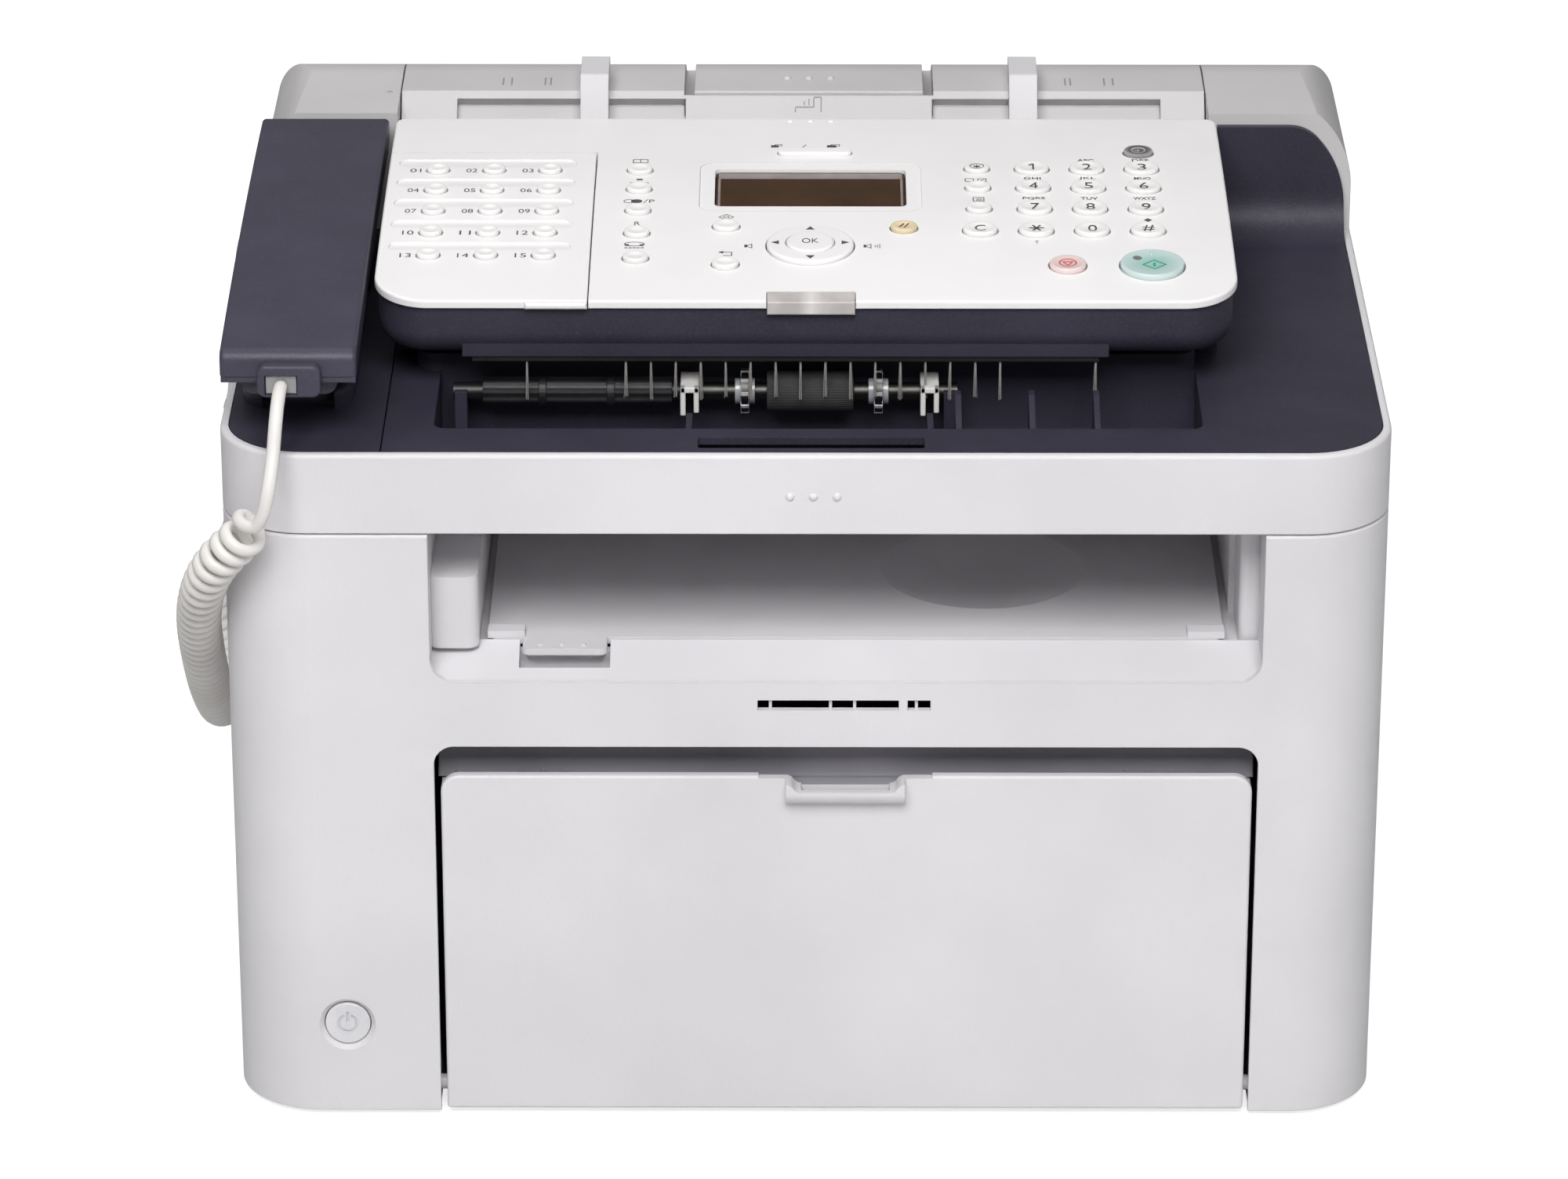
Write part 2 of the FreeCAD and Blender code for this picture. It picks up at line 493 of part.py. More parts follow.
# Paper guides: two fins on the pan that close on the sheet together
PAPER_HALF = 105.5
FIN_T = 2.5
FIN_D0 = 46.0
FIN_D1 = 112.0
FIN_TOP_Z = 38.0
SHOE_LEN = 34.0
SHOE_Z = PAN_TOP_Z + FIT
for side, node in ((-1, "paper_guide_left"), (1, "paper_guide_right")):
    fin_x = sorted((PAPER_X + side * PAPER_HALF, PAPER_X + side * (PAPER_HALF + FIN_T)))
    shoe_x = sorted((PAPER_X + side * (PAPER_HALF + FIN_T), PAPER_X + side * (PAPER_HALF - SHOE_LEN)))
    fin = round_edges(block(fin_x[0], fin_x[1], FIN_D0, FIN_D1, SHOE_Z, FIN_TOP_Z), 6.0,
                      lambda e: runs_along("X")(e) and e.BoundBox.ZMin > FIN_TOP_Z - 1)
    shoe = block(shoe_x[0], shoe_x[1], FIN_D0 + 14, FIN_D1 - 14, SHOE_Z, SHOE_Z + 2.0)
    export(node, fuse(fin, shoe))

# Pickup and delivery rollers: shafts that run in the side plates
PICKUP_R = 12.0
PICKUP_HALF = 15.0
ROLL_LEN = 20.0
ROLL_PITCH = 60.0
SHAFT_OUT = 1.0
shaft_x0 = FRAME_LEFT - FRAME_T - SHAFT_OUT
shaft_x1 = FRAME_RIGHT + FRAME_T + SHAFT_OUT
pickup = fuse(rod(shaft_x0, shaft_x1, PICKUP_D, PICKUP_Z, SHAFT_R),
              rod(PAPER_X - PICKUP_HALF, PAPER_X + PICKUP_HALF, PICKUP_D, PICKUP_Z, PICKUP_R))
export("pickup_roller", pickup)
rolls = [rod(PAPER_X + k * ROLL_PITCH - ROLL_LEN / 2, PAPER_X + k * ROLL_PITCH + ROLL_LEN / 2, DELIVERY_D,
             DELIVERY_Z,
             DELIVERY_R) for k in (-1.5, -0.5, 0.5, 1.5)]
export("delivery_roller", fuse(rod(shaft_x0, shaft_x1, DELIVERY_D, DELIVERY_Z, SHAFT_R), *rolls))

# Power button: a round cap in the front cover's bore, its sign engraved
POWER_IN_D = 0.8
POWER_LEN = 10.5
SIGN_R = 2.9
SIGN_W = 0.7
SIGN_DEPTH = 0.35
cap = plug(POWER_X, POWER_Z, POWER_IN_D, POWER_IN_D + POWER_LEN, POWER_R)
cap = round_edges(cap, 0.6, lambda e: e.BoundBox.YMax < y_at(POWER_IN_D + 0.01))
ring = plug(POWER_X, POWER_Z, 0.0, POWER_IN_D + SIGN_DEPTH, SIGN_R + SIGN_W / 2)
ring = ring.cut(plug(POWER_X, POWER_Z, -1.0, POWER_IN_D + 1, SIGN_R - SIGN_W / 2))
ring = ring.cut(block(POWER_X - 1.3, POWER_X + 1.3, -1.0, POWER_IN_D + 1, POWER_Z, POWER_Z + 5))
bar = block(POWER_X - SIGN_W / 2, POWER_X + SIGN_W / 2, 0.0, POWER_IN_D + SIGN_DEPTH, POWER_Z + 0.6,
            POWER_Z + 4.0)
export("power_button", cap.cut([ring, bar]))

# Units between the side plates: toner cartridge, laser scanner, fuser
UNIT_X0 = FRAME_LEFT + FIT
UNIT_X1 = FRAME_RIGHT - FIT
END_CAP = 8.0
TONER_GAP = 112.0
TONER_LEN = 94.0
TONER_TOP_Z = 149.0
TONER_H = 51.0
TONER_SLANT = 11.0
DRUM_R = 12.0
DRUM_IN = 20.0
toner_d1 = FRAME_REAR_D - TONER_GAP
toner_d0 = toner_d1 - TONER_LEN
toner_z0 = TONER_TOP_Z - TONER_H
tank = side_prism(UNIT_X0 + END_CAP, UNIT_X1 - END_CAP, (toner_d0, toner_z0 + TONER_SLANT),
                  (toner_d0, TONER_TOP_Z - TONER_SLANT / 2), (toner_d0 + TONER_SLANT, TONER_TOP_Z),
                  (toner_d1 - 4 * TONER_SLANT, TONER_TOP_Z), (toner_d1, TONER_TOP_Z - TONER_SLANT),
                  (toner_d1, toner_z0 + TONER_SLANT), (toner_d1 - DRUM_IN, toner_z0),
                  (toner_d0 + DRUM_IN, toner_z0))
drum = rod(UNIT_X0 + END_CAP, UNIT_X1 - END_CAP, toner_d1 - DRUM_IN, toner_z0 + DRUM_R / 2, DRUM_R)
cartridge_ends = [side_prism(x, x + END_CAP, (toner_d0 + DRUM_R, toner_z0 + DRUM_R),
                             (toner_d0 + DRUM_R, TONER_TOP_Z - DRUM_R / 4),
                             (toner_d1 - 4 * TONER_SLANT, TONER_TOP_Z - DRUM_R / 4),
                             (toner_d1 - DRUM_R / 2, TONER_TOP_Z - TONER_SLANT),
                             (toner_d1 - DRUM_R / 2, toner_z0),
                             (toner_d1 - DRUM_IN - DRUM_R, toner_z0))
                  for x in (UNIT_X0, UNIT_X1 - END_CAP)]
export("toner_cartridge", fuse(tank, drum, *cartridge_ends))
SCANNER_GAP = 26.0
SCANNER_LEN = 74.0
SCANNER_Z0 = 92.0
SCANNER_H = 46.0
SCANNER_IN = 26.0
SCANNER_FLOOR = 6.0
scanner_d1 = FRAME_REAR_D - SCANNER_GAP
scanner_d0 = scanner_d1 - SCANNER_LEN
scanner_floor = block(UNIT_X0, UNIT_X1, scanner_d0 + FIT, scanner_d1 - FIT, SCANNER_Z0,
                      SCANNER_Z0 + SCANNER_FLOOR)
scanner_case = block(UNIT_X0 + SCANNER_IN, UNIT_X1 - SCANNER_IN, scanner_d0, scanner_d1, SCANNER_Z0 + FIT,
                     SCANNER_Z0 + SCANNER_H)
scanner_case = round_edges(scanner_case, 5.0, runs_along("Z"))
slit = block(UNIT_X0 + SCANNER_IN + END_CAP, UNIT_X1 - SCANNER_IN - END_CAP, scanner_d0 - 1,
             scanner_d0 + END_CAP,
             SCANNER_Z0 + SCANNER_H / 3, SCANNER_Z0 + SCANNER_H / 2)
export("laser_scanner", fuse(scanner_floor, scanner_case).cut(slit))
FUSER_Z0 = 150.0
FUSER_H = 46.0
FUSER_BEVEL = 9.0
fuser_d1 = FRAME_REAR_D - FUSER_GAP
fuser_d0 = fuser_d1 - FUSER_LEN
fuser_z1 = FUSER_Z0 + FUSER_H
fuser = side_prism(UNIT_X0, UNIT_X1, (fuser_d0, FUSER_Z0), (fuser_d0, fuser_z1 - FUSER_BEVEL),
                   (fuser_d0 + FUSER_BEVEL, fuser_z1), (fuser_d1 - FUSER_BEVEL, fuser_z1),
                   (fuser_d1, fuser_z1 - FUSER_BEVEL), (fuser_d1, FUSER_Z0))
heat_roller = rod(UNIT_X0 + END_CAP, UNIT_X1 - END_CAP, (fuser_d0 + fuser_d1) / 2, FUSER_Z0 + FIT, DRUM_R)
export("fuser_unit", fuse(fuser, heat_roller))

# Main motor on the right side plate, main board on the left one, power supply on the pan
MOTOR_R = 20.0
MOTOR_ROOM = 4.0
MOTOR_GAP = 72.0
MOTOR_Z = 80.0
MOTOR_PLATE = 62.0
MOTOR_PLATE_T = 1.6
GEAR_R = 6.0
GEAR_T = 3.0
motor_x = FRAME_RIGHT + FRAME_T
motor_d = FRAME_REAR_D - MOTOR_GAP
motor_plate = plan_prism(motor_x, motor_x + MOTOR_PLATE_T, motor_d - MOTOR_PLATE / 2,
                         motor_d + MOTOR_PLATE / 2,
                         MOTOR_Z - MOTOR_PLATE / 2, MOTOR_Z + MOTOR_PLATE / 2)
motor_can = rod(motor_x, HALF_W - WALL - MOTOR_ROOM, motor_d, MOTOR_Z, MOTOR_R)
motor_gear = rod(motor_x, motor_x + MOTOR_PLATE_T + GEAR_T, motor_d - MOTOR_R, MOTOR_Z + MOTOR_R, GEAR_R)
export("main_motor", fuse(motor_plate, motor_can, motor_gear))
BOARD_T = 1.6
STAND_OFF = 5.0
STAND_R = 3.0
BOARD_LEN = 190.0
BOARD_GAP = 28.0
BOARD_Z0 = 28.0
BOARD_H = 140.0
BOARD_EDGE = 10.0
CHIP_T = 3.0
CHIP = 26.0
board_x = FRAME_LEFT - FRAME_T - STAND_OFF
board_d1 = FRAME_REAR_D - BOARD_GAP
board_d0 = board_d1 - BOARD_LEN
stands = [rod(board_x, board_x + STAND_OFF, depth, z, STAND_R) for depth in (board_d0 + BOARD_EDGE,
                                                                             board_d1 - BOARD_EDGE)
          for z in (BOARD_Z0 + BOARD_EDGE, BOARD_Z0 + BOARD_H - BOARD_EDGE)]
chips = [block(board_x - BOARD_T - CHIP_T, board_x - BOARD_T, board_d0 + along * BOARD_LEN,
               board_d0 + along * BOARD_LEN + share * CHIP, BOARD_Z0 + up * BOARD_H,
               BOARD_Z0 + up * BOARD_H + share * CHIP)
         for along, up, share in ((0.15, 0.62, 1.0), (0.4, 0.68, 0.7), (0.66, 0.22, 0.9), (0.26, 0.2, 0.6))]
board = block(board_x - BOARD_T, board_x, board_d0, board_d1, BOARD_Z0, BOARD_Z0 + BOARD_H)
export("main_board", fuse(board, *stands, *chips))
SUPPLY_W = 200.0
SUPPLY_LEN = 60.0
SUPPLY_GAP = 5.0
CORE_W = 44.0
CORE_H = 38.0
CAN_R = 11.0
CAN_H = 34.0
SINK_T = 12.0
supply_z = PAN_TOP_Z + STAND_OFF
supply_d1 = FRAME_REAR_D - SUPPLY_GAP
supply_d0 = supply_d1 - SUPPLY_LEN
supply_x0 = PAPER_X - SUPPLY_W / 2
supply_x1 = PAPER_X + SUPPLY_W / 2
supply_mid = (supply_d0 + supply_d1) / 2
supply_stands = [post(x, depth, PAN_TOP_Z, supply_z, STAND_R) for x in (supply_x0 + BOARD_EDGE,
                                                                        supply_x1 - BOARD_EDGE)
                 for depth in (supply_d0 + BOARD_EDGE, supply_d1 - BOARD_EDGE)]
supply_board = block(supply_x0, supply_x1, supply_d0, supply_d1, supply_z, supply_z + BOARD_T)
core = block(PAPER_X - CORE_W / 2, PAPER_X + CORE_W / 2, supply_mid - CORE_W / 2, supply_mid + CORE_W / 2,
             supply_z,
             supply_z + CORE_H)
sink = block(PAPER_X + CORE_W, PAPER_X + 2 * CORE_W - SINK_T, supply_mid - SINK_T, supply_mid, supply_z,
             supply_z + CAN_H)
can = post(PAPER_X - CORE_W - CAN_R, supply_mid, supply_z, supply_z + CAN_H, CAN_R)
export("power_supply", fuse(supply_board, core, sink, can, *supply_stands))

# Rear sockets: mains inlet and a row of three line jacks
INLET_DEEP = 22.0
INLET_RIM = 2.5
PRONG_T = 2.0
PRONG_H = 5.0
PRONG_PITCH = 7.0
JACK_DEEP = 15.0
JACK_MOUTH = 11.0
JACK_PITCH = 17.0
SOCKET_IN = 0.4
inlet = block(INLET_X0 + FIT, INLET_X1 - FIT, BODY_D - INLET_DEEP, BODY_D - SOCKET_IN, INLET_Z0 + FIT,
              INLET_Z1 - FIT)
inlet = inlet.cut(front_prism(INLET_X0 + INLET_RIM, INLET_X1 - INLET_RIM, INLET_Z0 + INLET_RIM,
                              INLET_Z1 - INLET_RIM,
                              BODY_D - INLET_DEEP + INLET_RIM, BODY_D, 1.0, 4.0))
inlet_x = (INLET_X0 + INLET_X1) / 2
inlet_z = (INLET_Z0 + INLET_Z1) / 2
prongs = [block(inlet_x + k * PRONG_PITCH - PRONG_T / 2, inlet_x + k * PRONG_PITCH + PRONG_T / 2,
                BODY_D - INLET_DEEP + INLET_RIM / 2, BODY_D - 2 * INLET_RIM, z - PRONG_H / 2, z + PRONG_H / 2)
          for k, z in ((-1, inlet_z - PRONG_T), (0, inlet_z + PRONG_T), (1, inlet_z - PRONG_T))]
jacks = block(JACK_X0 + FIT, JACK_X1 - FIT, BODY_D - JACK_DEEP, BODY_D - SOCKET_IN, JACK_Z0 + FIT,
              JACK_Z1 - FIT)
jack_mid = (JACK_X0 + JACK_X1) / 2
sockets = [block(jack_mid + k * JACK_PITCH - JACK_MOUTH / 2, jack_mid + k * JACK_PITCH + JACK_MOUTH / 2,
                 BODY_D - JACK_DEEP + INLET_RIM, BODY_D, JACK_Z0 + INLET_RIM,
                 JACK_Z1 - INLET_RIM) for k in (-1, 0, 1)]
export("rear_sockets", Part.makeCompound([fuse(inlet, *prongs), jacks.cut(sockets)]))


def cover_plan(inset, d0, d1, z0, z1):
    """The printer cover's outline from above, drawn in by inset, cut to a range of depths."""
    whole = plan_prism(-HALF_W + inset, HALF_W - inset, inset, COVER_REAR_D - inset, z0, z1,
                       CORNER_R - inset, REAR_CORNER_R - inset)
    return whole.common(block(-BODY_W, BODY_W, d0, d1, z0 - 1, z1 + 1))


# Cover band: the white ring and floor of the printer cover, with lugs and pins for its hinge
BAND_FLOOR_Z = COVER_BOTTOM_Z + WALL
SLOT_HALF = 4.0
LUG_T = 3.0
CORD_JACK_D = 236.0
CORD_JACK_Z = 221.0
CORD_JACK_R = 4.0
APRON_IN = 28.0
APRON_DROP = 8.4
APRON_D = COVER_REAR_D - APRON_IN
APRON_Z = SEAM_Z - APRON_DROP
DOT_X = 2.4
DOT_PITCH = 7.4
DOT_R = 1.5
DOT_Z = 220.0
band = cover_plan(0.0, 0.0, BODY_D, COVER_BOTTOM_Z, DECK_Z)
band = round_edges(band, 1.3,
                   lambda e: abs(e.BoundBox.ZMin - DECK_Z) < 0.01 and abs(e.BoundBox.ZMax - DECK_Z) < 0.01)
band = band.cut(cover_plan(WALL, WALL, BODY_D, BAND_FLOOR_Z, DECK_Z + 1))
hinge_slots = []
hinge_lugs = []
for side in (-1, 1):
    x = side * HINGE_X
    hinge_slots.append(block(x - SLOT_HALF, x + SLOT_HALF, HINGE_D - 11, BODY_D, COVER_BOTTOM_Z - 1,
                             HINGE_Z + 9))
    for lug_x in (x - SLOT_HALF - LUG_T, x + SLOT_HALF):
        hinge_lugs.append(block(lug_x, lug_x + LUG_T, HINGE_D - 6, COVER_REAR_D - 1, COVER_BOTTOM_Z,
                                HINGE_Z + 6))
    hinge_lugs.append(rod(x - SLOT_HALF - 1, x + SLOT_HALF + 1, HINGE_D, HINGE_Z, HINGE_PIN_R))
dots = [Part.makeSphere(DOT_R, V(DOT_X + k * DOT_PITCH, y_at(0.5), DOT_Z)) for k in (-1, 0, 1)]
jack_hole = rod(-BODY_W, -HALF_W + WALL + 1, CORD_JACK_D, CORD_JACK_Z, CORD_JACK_R + FIT)
apron = block(FRAME_LEFT + 2, FRAME_RIGHT - 2, APRON_D, APRON_D + WALL, APRON_Z, BAND_FLOOR_Z)
band = fuse(band.cut(hinge_slots), *hinge_lugs, *dots, apron).cut(jack_hole)
export("cover_band", band)

# Top deck: navy plate with the document outlet, its fins, the document bed and the wall at the right
DECK_T = 2.6
DECK_IN = WALL + FIT
SPLIT_X = -134.0
SPLIT_GAP = 0.4
DECK_REAR_D = CAP_D - FIT
EXIT_X0 = -118.0
EXIT_X1 = 126.0
EXIT_D0 = 22.5
EXIT_D1 = 72.0
EXIT_FLOOR_Z = 214.0
EXIT_R = 4.0
TUB_T = 2.0
BED_HALF = 126.0
BED_Z = 240.0
BED_END_D = 192.0
SLOT_X0 = -34.0
SLOT_X1 = 37.4
SLOT_D0 = 6.4
SLOT_D1 = 15.3
CLIP_XS = (-37.3, 39.8)
FIN_XS = (48.7, 72.2, 92.9)
FIN_END_D = 48.0
FIN_FLAT = 4.0
FIN_Z = 228.0
FIN_HIGH_Z = 237.0
CLIP_FIN_Z = 229.0
EJECT_D = 62.0
EJECT_Z = 231.0
EJECT_SHAFT_R = 3.0
EJECT_R = 6.5
EJECT_X0 = -110.0
EJECT_X1 = 43.6
FEED_D = 150.0
FEED_Z = 233.5
FEED_R = 7.0
SENSOR_D0 = 98.0
SENSOR_D1 = 114.0
WALL_X0 = 139.5
WALL_FILLET = 15.0
WALL_TOP_Z = 272.0
SHOULDER_W = 19.0
SHOULDER_H = 28.0
SHOULDER_R = 13.0
PIVOT_IN = 4.5
PIVOT_DROP = 8.8
PIVOT_D = CREST_D - PIVOT_IN
PIVOT_Z = CREST_Z - PIVOT_DROP
PIVOT_X = 120.0
PIVOT_R = 5.0
PIVOT_ROOM = 5.5
PIVOT_PIN_R = 2.5
PANEL_FLOOR_Z = 246.8
RAIL_X0 = 128.0
RAIL_X1 = 134.0


def on_arc(x, z, radius, angle):
    """The point of an arc about a centre, at an angle from the horizontal."""
    return (x + radius * math.cos(angle), z + radius * math.sin(angle))


def shoulder(side, inset, x_in, top_z, d0, d1):
    """A column whose upper outer corner is a soft shoulder of two tangent arcs, extruded back."""
    start_x = HALF_W - inset - SHOULDER_W
    drop = SHOULDER_H - SHOULDER_R
    side_r = (SHOULDER_W ** 2 + drop ** 2 - SHOULDER_R ** 2) / (2 * (SHOULDER_W - SHOULDER_R))
    turn = math.atan2(drop, side_r - SHOULDER_W)
    top = (start_x, top_z - SHOULDER_R, SHOULDER_R)
    flank = (start_x + SHOULDER_W - side_r, top_z - SHOULDER_H, side_r)
    face = outline(lambda p: V(side * p[0], y_at(d0), p[1]), (x_in, COVER_BOTTOM_Z), (x_in, top_z),
                   (start_x, top_z), (on_arc(*top, (math.pi / 2 + turn) / 2), on_arc(*top, turn)),
                   (on_arc(*flank, turn / 2), on_arc(*flank, 0.0)), (start_x + SHOULDER_W, COVER_BOTTOM_Z))
    return face.extrude(V(0, d1 - d0, 0))


deck = cover_plan(DECK_IN, DECK_IN, DECK_REAR_D, DECK_Z - DECK_T, DECK_Z)
deck = deck.common(block(SPLIT_X + SPLIT_GAP, BODY_W, 0, BODY_D, 0, CREST_Z))
tub = plan_prism(EXIT_X0 - TUB_T, EXIT_X1 + TUB_T, EXIT_D0 - TUB_T, EXIT_D1 + TUB_T, EXIT_FLOOR_Z - TUB_T,
                 DECK_Z - DECK_T / 2, EXIT_R + TUB_T)
bed = plan_prism(-BED_HALF, BED_HALF, EXIT_D1, BED_END_D, DECK_Z - 1, BED_Z, 6.0, 6.0)
wall_d = DECK_REAR_D - DECK_T
arc_d = wall_d - WALL_FILLET
arc_mid = (arc_d + WALL_FILLET * math.sqrt(0.5), DECK_Z + WALL_FILLET * (1 - math.sqrt(0.5)))
wall = side_prism(WALL_X0, HALF_W - DECK_IN, (arc_d - 1, DECK_Z - DECK_T), (arc_d - 1, DECK_Z),
                  (arc_d, DECK_Z),
                  (arc_mid, (wall_d, DECK_Z + WALL_FILLET)), (wall_d, WALL_TOP_Z), (DECK_REAR_D, WALL_TOP_Z),
                  (DECK_REAR_D, DECK_Z - DECK_T))
wall = wall.common(shoulder(1, DECK_IN, WALL_X0 - 1, WALL_TOP_Z, arc_d - 2, DECK_REAR_D + 1))
deck = fuse(deck, tub, bed, wall)
deck = deck.cut([
    plan_prism(EXIT_X0, EXIT_X1, EXIT_D0, EXIT_D1, EXIT_FLOOR_Z, BED_Z + 1, EXIT_R),
    plan_prism(SLOT_X0, SLOT_X1, SLOT_D0, SLOT_D1, DECK_Z - DECK_T - 1, DECK_Z + 1, 1.0, 1.0),
    block(-BED_HALF + 12, BED_HALF - 12, SENSOR_D0 - FIT, SENSOR_D1 + FIT, DECK_Z - 2 * DECK_T, BED_Z + 1),
    block(-60, 60, FEED_D - 10, FEED_D + 10, DECK_Z - 2 * DECK_T, BED_Z + 1),
])
fins = [side_prism(x - 1, x + 1, (EXIT_D0 - 1, EXIT_FLOOR_Z - 1), (EXIT_D0 - 1, FIN_Z),
                   (FIN_END_D - FIN_FLAT, top_z),
                   (FIN_END_D, top_z), (FIN_END_D, EXIT_FLOOR_Z - 1))
        for x, top_z in [(x, FIN_HIGH_Z) for x in FIN_XS] + [(x, CLIP_FIN_Z) for x in CLIP_XS]]
bearings = [block(x, x + 4, EJECT_D - 5, EJECT_D + 5, EXIT_FLOOR_Z - 1,
                  EJECT_Z + 1.5) for x in (EXIT_X0 + 5, 44.4)]
feed_bearings = [block(x, x + 4, FEED_D - 10.5, FEED_D + 10.5, DECK_Z - 2 * DECK_T,
                       BED_Z - 1) for x in (-61, 57)]
pivot_ears = []
for x in (-PIVOT_X, PIVOT_X):
    pivot_ears.append(block(x - EAR_HALF, x + EAR_HALF, PIVOT_D - PIVOT_R, PIVOT_D + PIVOT_R, DECK_Z - 1,
                            PIVOT_Z))
    pivot_ears.append(rod(x - EAR_HALF, x + EAR_HALF, PIVOT_D, PIVOT_Z, PIVOT_R))
rails = [block(x, x + RAIL_X1 - RAIL_X0, 90.0, 180.0, DECK_Z - 1,
               PANEL_FLOOR_Z - FIT) for x in (-RAIL_X1 + 0.8, RAIL_X0)]
deck = fuse(deck, *fins, *bearings, *feed_bearings, *pivot_ears, *rails)
deck = deck.cut([rod(-HALF_W, HALF_W, PIVOT_D, PIVOT_Z, PIVOT_PIN_R + PIN_PLAY),
                 rod(EXIT_X0 + 4, 50.0, EJECT_D, EJECT_Z, EJECT_SHAFT_R + PIN_PLAY),
                 block(EXIT_X0 + 4, 50.0, EJECT_D - 2.6, EJECT_D + 2.6, EJECT_Z, BED_Z),
                 rod(-62, 62, FEED_D, FEED_Z, EJECT_SHAFT_R + PIN_PLAY)])
export("top_deck", deck)

# Eject roller: shaft with its rubber roll and two clear star rings; clips hold it from above
EJECT_ROLL_X0 = -12.5
EJECT_ROLL_X1 = 15.3
RING_XS = (-19.6, 23.4)
eject = fuse(rod(EXIT_X0 + 4.5, 48.8, EJECT_D, EJECT_Z, EJECT_SHAFT_R),
             rod(EJECT_ROLL_X0, EJECT_ROLL_X1, EJECT_D, EJECT_Z, EJECT_R),
             *[rod(x - 1.2, x + 1.2, EJECT_D, EJECT_Z, EJECT_R + 0.6) for x in RING_XS])
export("eject_roller", eject)
feed = fuse(rod(-60.8, 60.8, FEED_D, FEED_Z, EJECT_SHAFT_R),
            *[rod(x - 12, x + 12, FEED_D, FEED_Z, FEED_R) for x in (-38, 0, 38)])
export("feed_roller", feed)
CLIP_T = 5.0
CLIP_D0 = FIN_END_D - FIN_FLAT
CLIP_HEAD_D = 4.5
CLIP_HEAD_Z = 5.0
CLIP_FOOT_Z = CLIP_FIN_Z - 4.0
clips = []
for x in CLIP_XS:
    x0, x1 = x - CLIP_T / 2, x + CLIP_T / 2
    head = block(x0, x1, EJECT_D - CLIP_HEAD_D, EJECT_D + CLIP_HEAD_D, EJECT_Z - 3, EJECT_Z + CLIP_HEAD_Z)
    head = round_edges(head, 2.5,
                       lambda e: runs_along("X")(e) and e.BoundBox.ZMin > EJECT_Z + CLIP_HEAD_Z - 1)
    arm = side_prism(x0, x1, (CLIP_D0, CLIP_FOOT_Z), (CLIP_D0, CLIP_FIN_Z + 1.5), (EJECT_D - 3, EJECT_Z + 1),
                     (EJECT_D - 3, EJECT_Z - 3), (FIN_END_D + 2, CLIP_FOOT_Z))
    clip = fuse(head, arm).cut([
        rod(x - CLIP_T, x + CLIP_T, EJECT_D, EJECT_Z, EJECT_SHAFT_R + 0.4),
        block(x - CLIP_T, x + CLIP_T, EJECT_D - 3.0, EJECT_D + 3.0, EJECT_Z - 9, EJECT_Z),
        block(x - 1 - FIT, x + 1 + FIT, 0.0, FIN_END_D + FIT, EXIT_FLOOR_Z, CLIP_FIN_Z)])
    clips.append(clip)
export("roller_clips", Part.makeCompound(clips))

# Scan sensor: a bar with a glass face, level with the bed
sensor = block(-BED_HALF + 12 + FIT, BED_HALF - 12 - FIT, SENSOR_D0, SENSOR_D1, BAND_FLOOR_Z, BED_Z)
sensor = sensor.cut(block(-106, 106, SENSOR_D0 + 4, SENSOR_D1 - 4, BED_Z - 0.5, BED_Z + 1))
export("scan_sensor", sensor)

# Handset: back shell on a crowned line of its own, face shell with ear and mouth pads, clear cord plug
HS_X0 = -184.0
HS_X1 = -141.0
HS_D0 = 9.0
HS_D1 = 197.0
HS_CROWN_R = 1642.0
HS_SHELL = 8.2
HS_RIM = 2.0
HS_SEAM = 0.3
HS_THICK = 16.5
HS_FACE_IN = 6.5
HS_FACE_R = 4.0
HS_PAD_Z = 235.5
PAD_IN = 1.5
PAD_RISE = 24.5
MOUTH_D0 = 42.0
MOUTH_D1 = 88.0
EARPAD_D0 = 142.0
EARPAD_D1 = 191.0
PLUG_X = -164.5
PLUG_Z = 255.4
PLUG_W = 9.6
PLUG_H = 6.0
PLUG_D0 = 6.2
PLUG_LEN = 12.0
JACK_X0 = -172.0
JACK_X1 = -152.0
JACK_Z0 = 251.1
JACK_Z1 = 261.8
JACK_D0 = 5.2
JACK_R = 2.8


def handset_top(depth):
    return CREST_Z - (HS_CROWN_R - math.sqrt(HS_CROWN_R ** 2 - (HS_D1 - depth) ** 2))


def crowned_slab(height, x0, x1, d0, d1, drop0, drop1):
    """A slab between two copies of a crowned line, drop0 and drop1 under it."""
    mid = (d0 + d1) / 2
    return side_prism(x0, x1, (d0, height(d0) - drop1), (d0, height(d0) - drop0),
                      ((mid, height(mid) - drop0), (d1, height(d1) - drop0)), (d1, height(d1) - drop1),
                      ((mid, height(mid) - drop1), (d0, height(d0) - drop1)))


cavity = block(PLUG_X - PLUG_W / 2 - FIT, PLUG_X + PLUG_W / 2 + FIT, 0.0, PLUG_D0 + PLUG_LEN + FIT,
               PLUG_Z - PLUG_H / 2 - FIT, PLUG_Z + PLUG_H / 2 + FIT)
handset_back = crowned_slab(handset_top, HS_X0, HS_X1, HS_D0, HS_D1, 0.0, HS_SHELL)
front_top = handset_top(HS_D0)
handset_back = round_edges(handset_back, 4.0,
                           lambda e: runs_along("X")(e) and abs(e.BoundBox.ZMax - front_top) < 0.1)
handset_back = round_edges(handset_back, 1.6, lambda e: e.Length > 150 and e.BoundBox.ZMax > CREST_Z - 0.1)
export("handset_back", handset_back.cut(cavity))
face_x0 = HS_X0 + HS_FACE_IN
face_x1 = HS_X1 - HS_FACE_IN
rim = crowned_slab(handset_top, HS_X0 + HS_SEAM, HS_X1 - HS_SEAM, HS_D0 + HS_SEAM, HS_D1 - HS_SEAM,
                   HS_SHELL, HS_SHELL + HS_RIM)
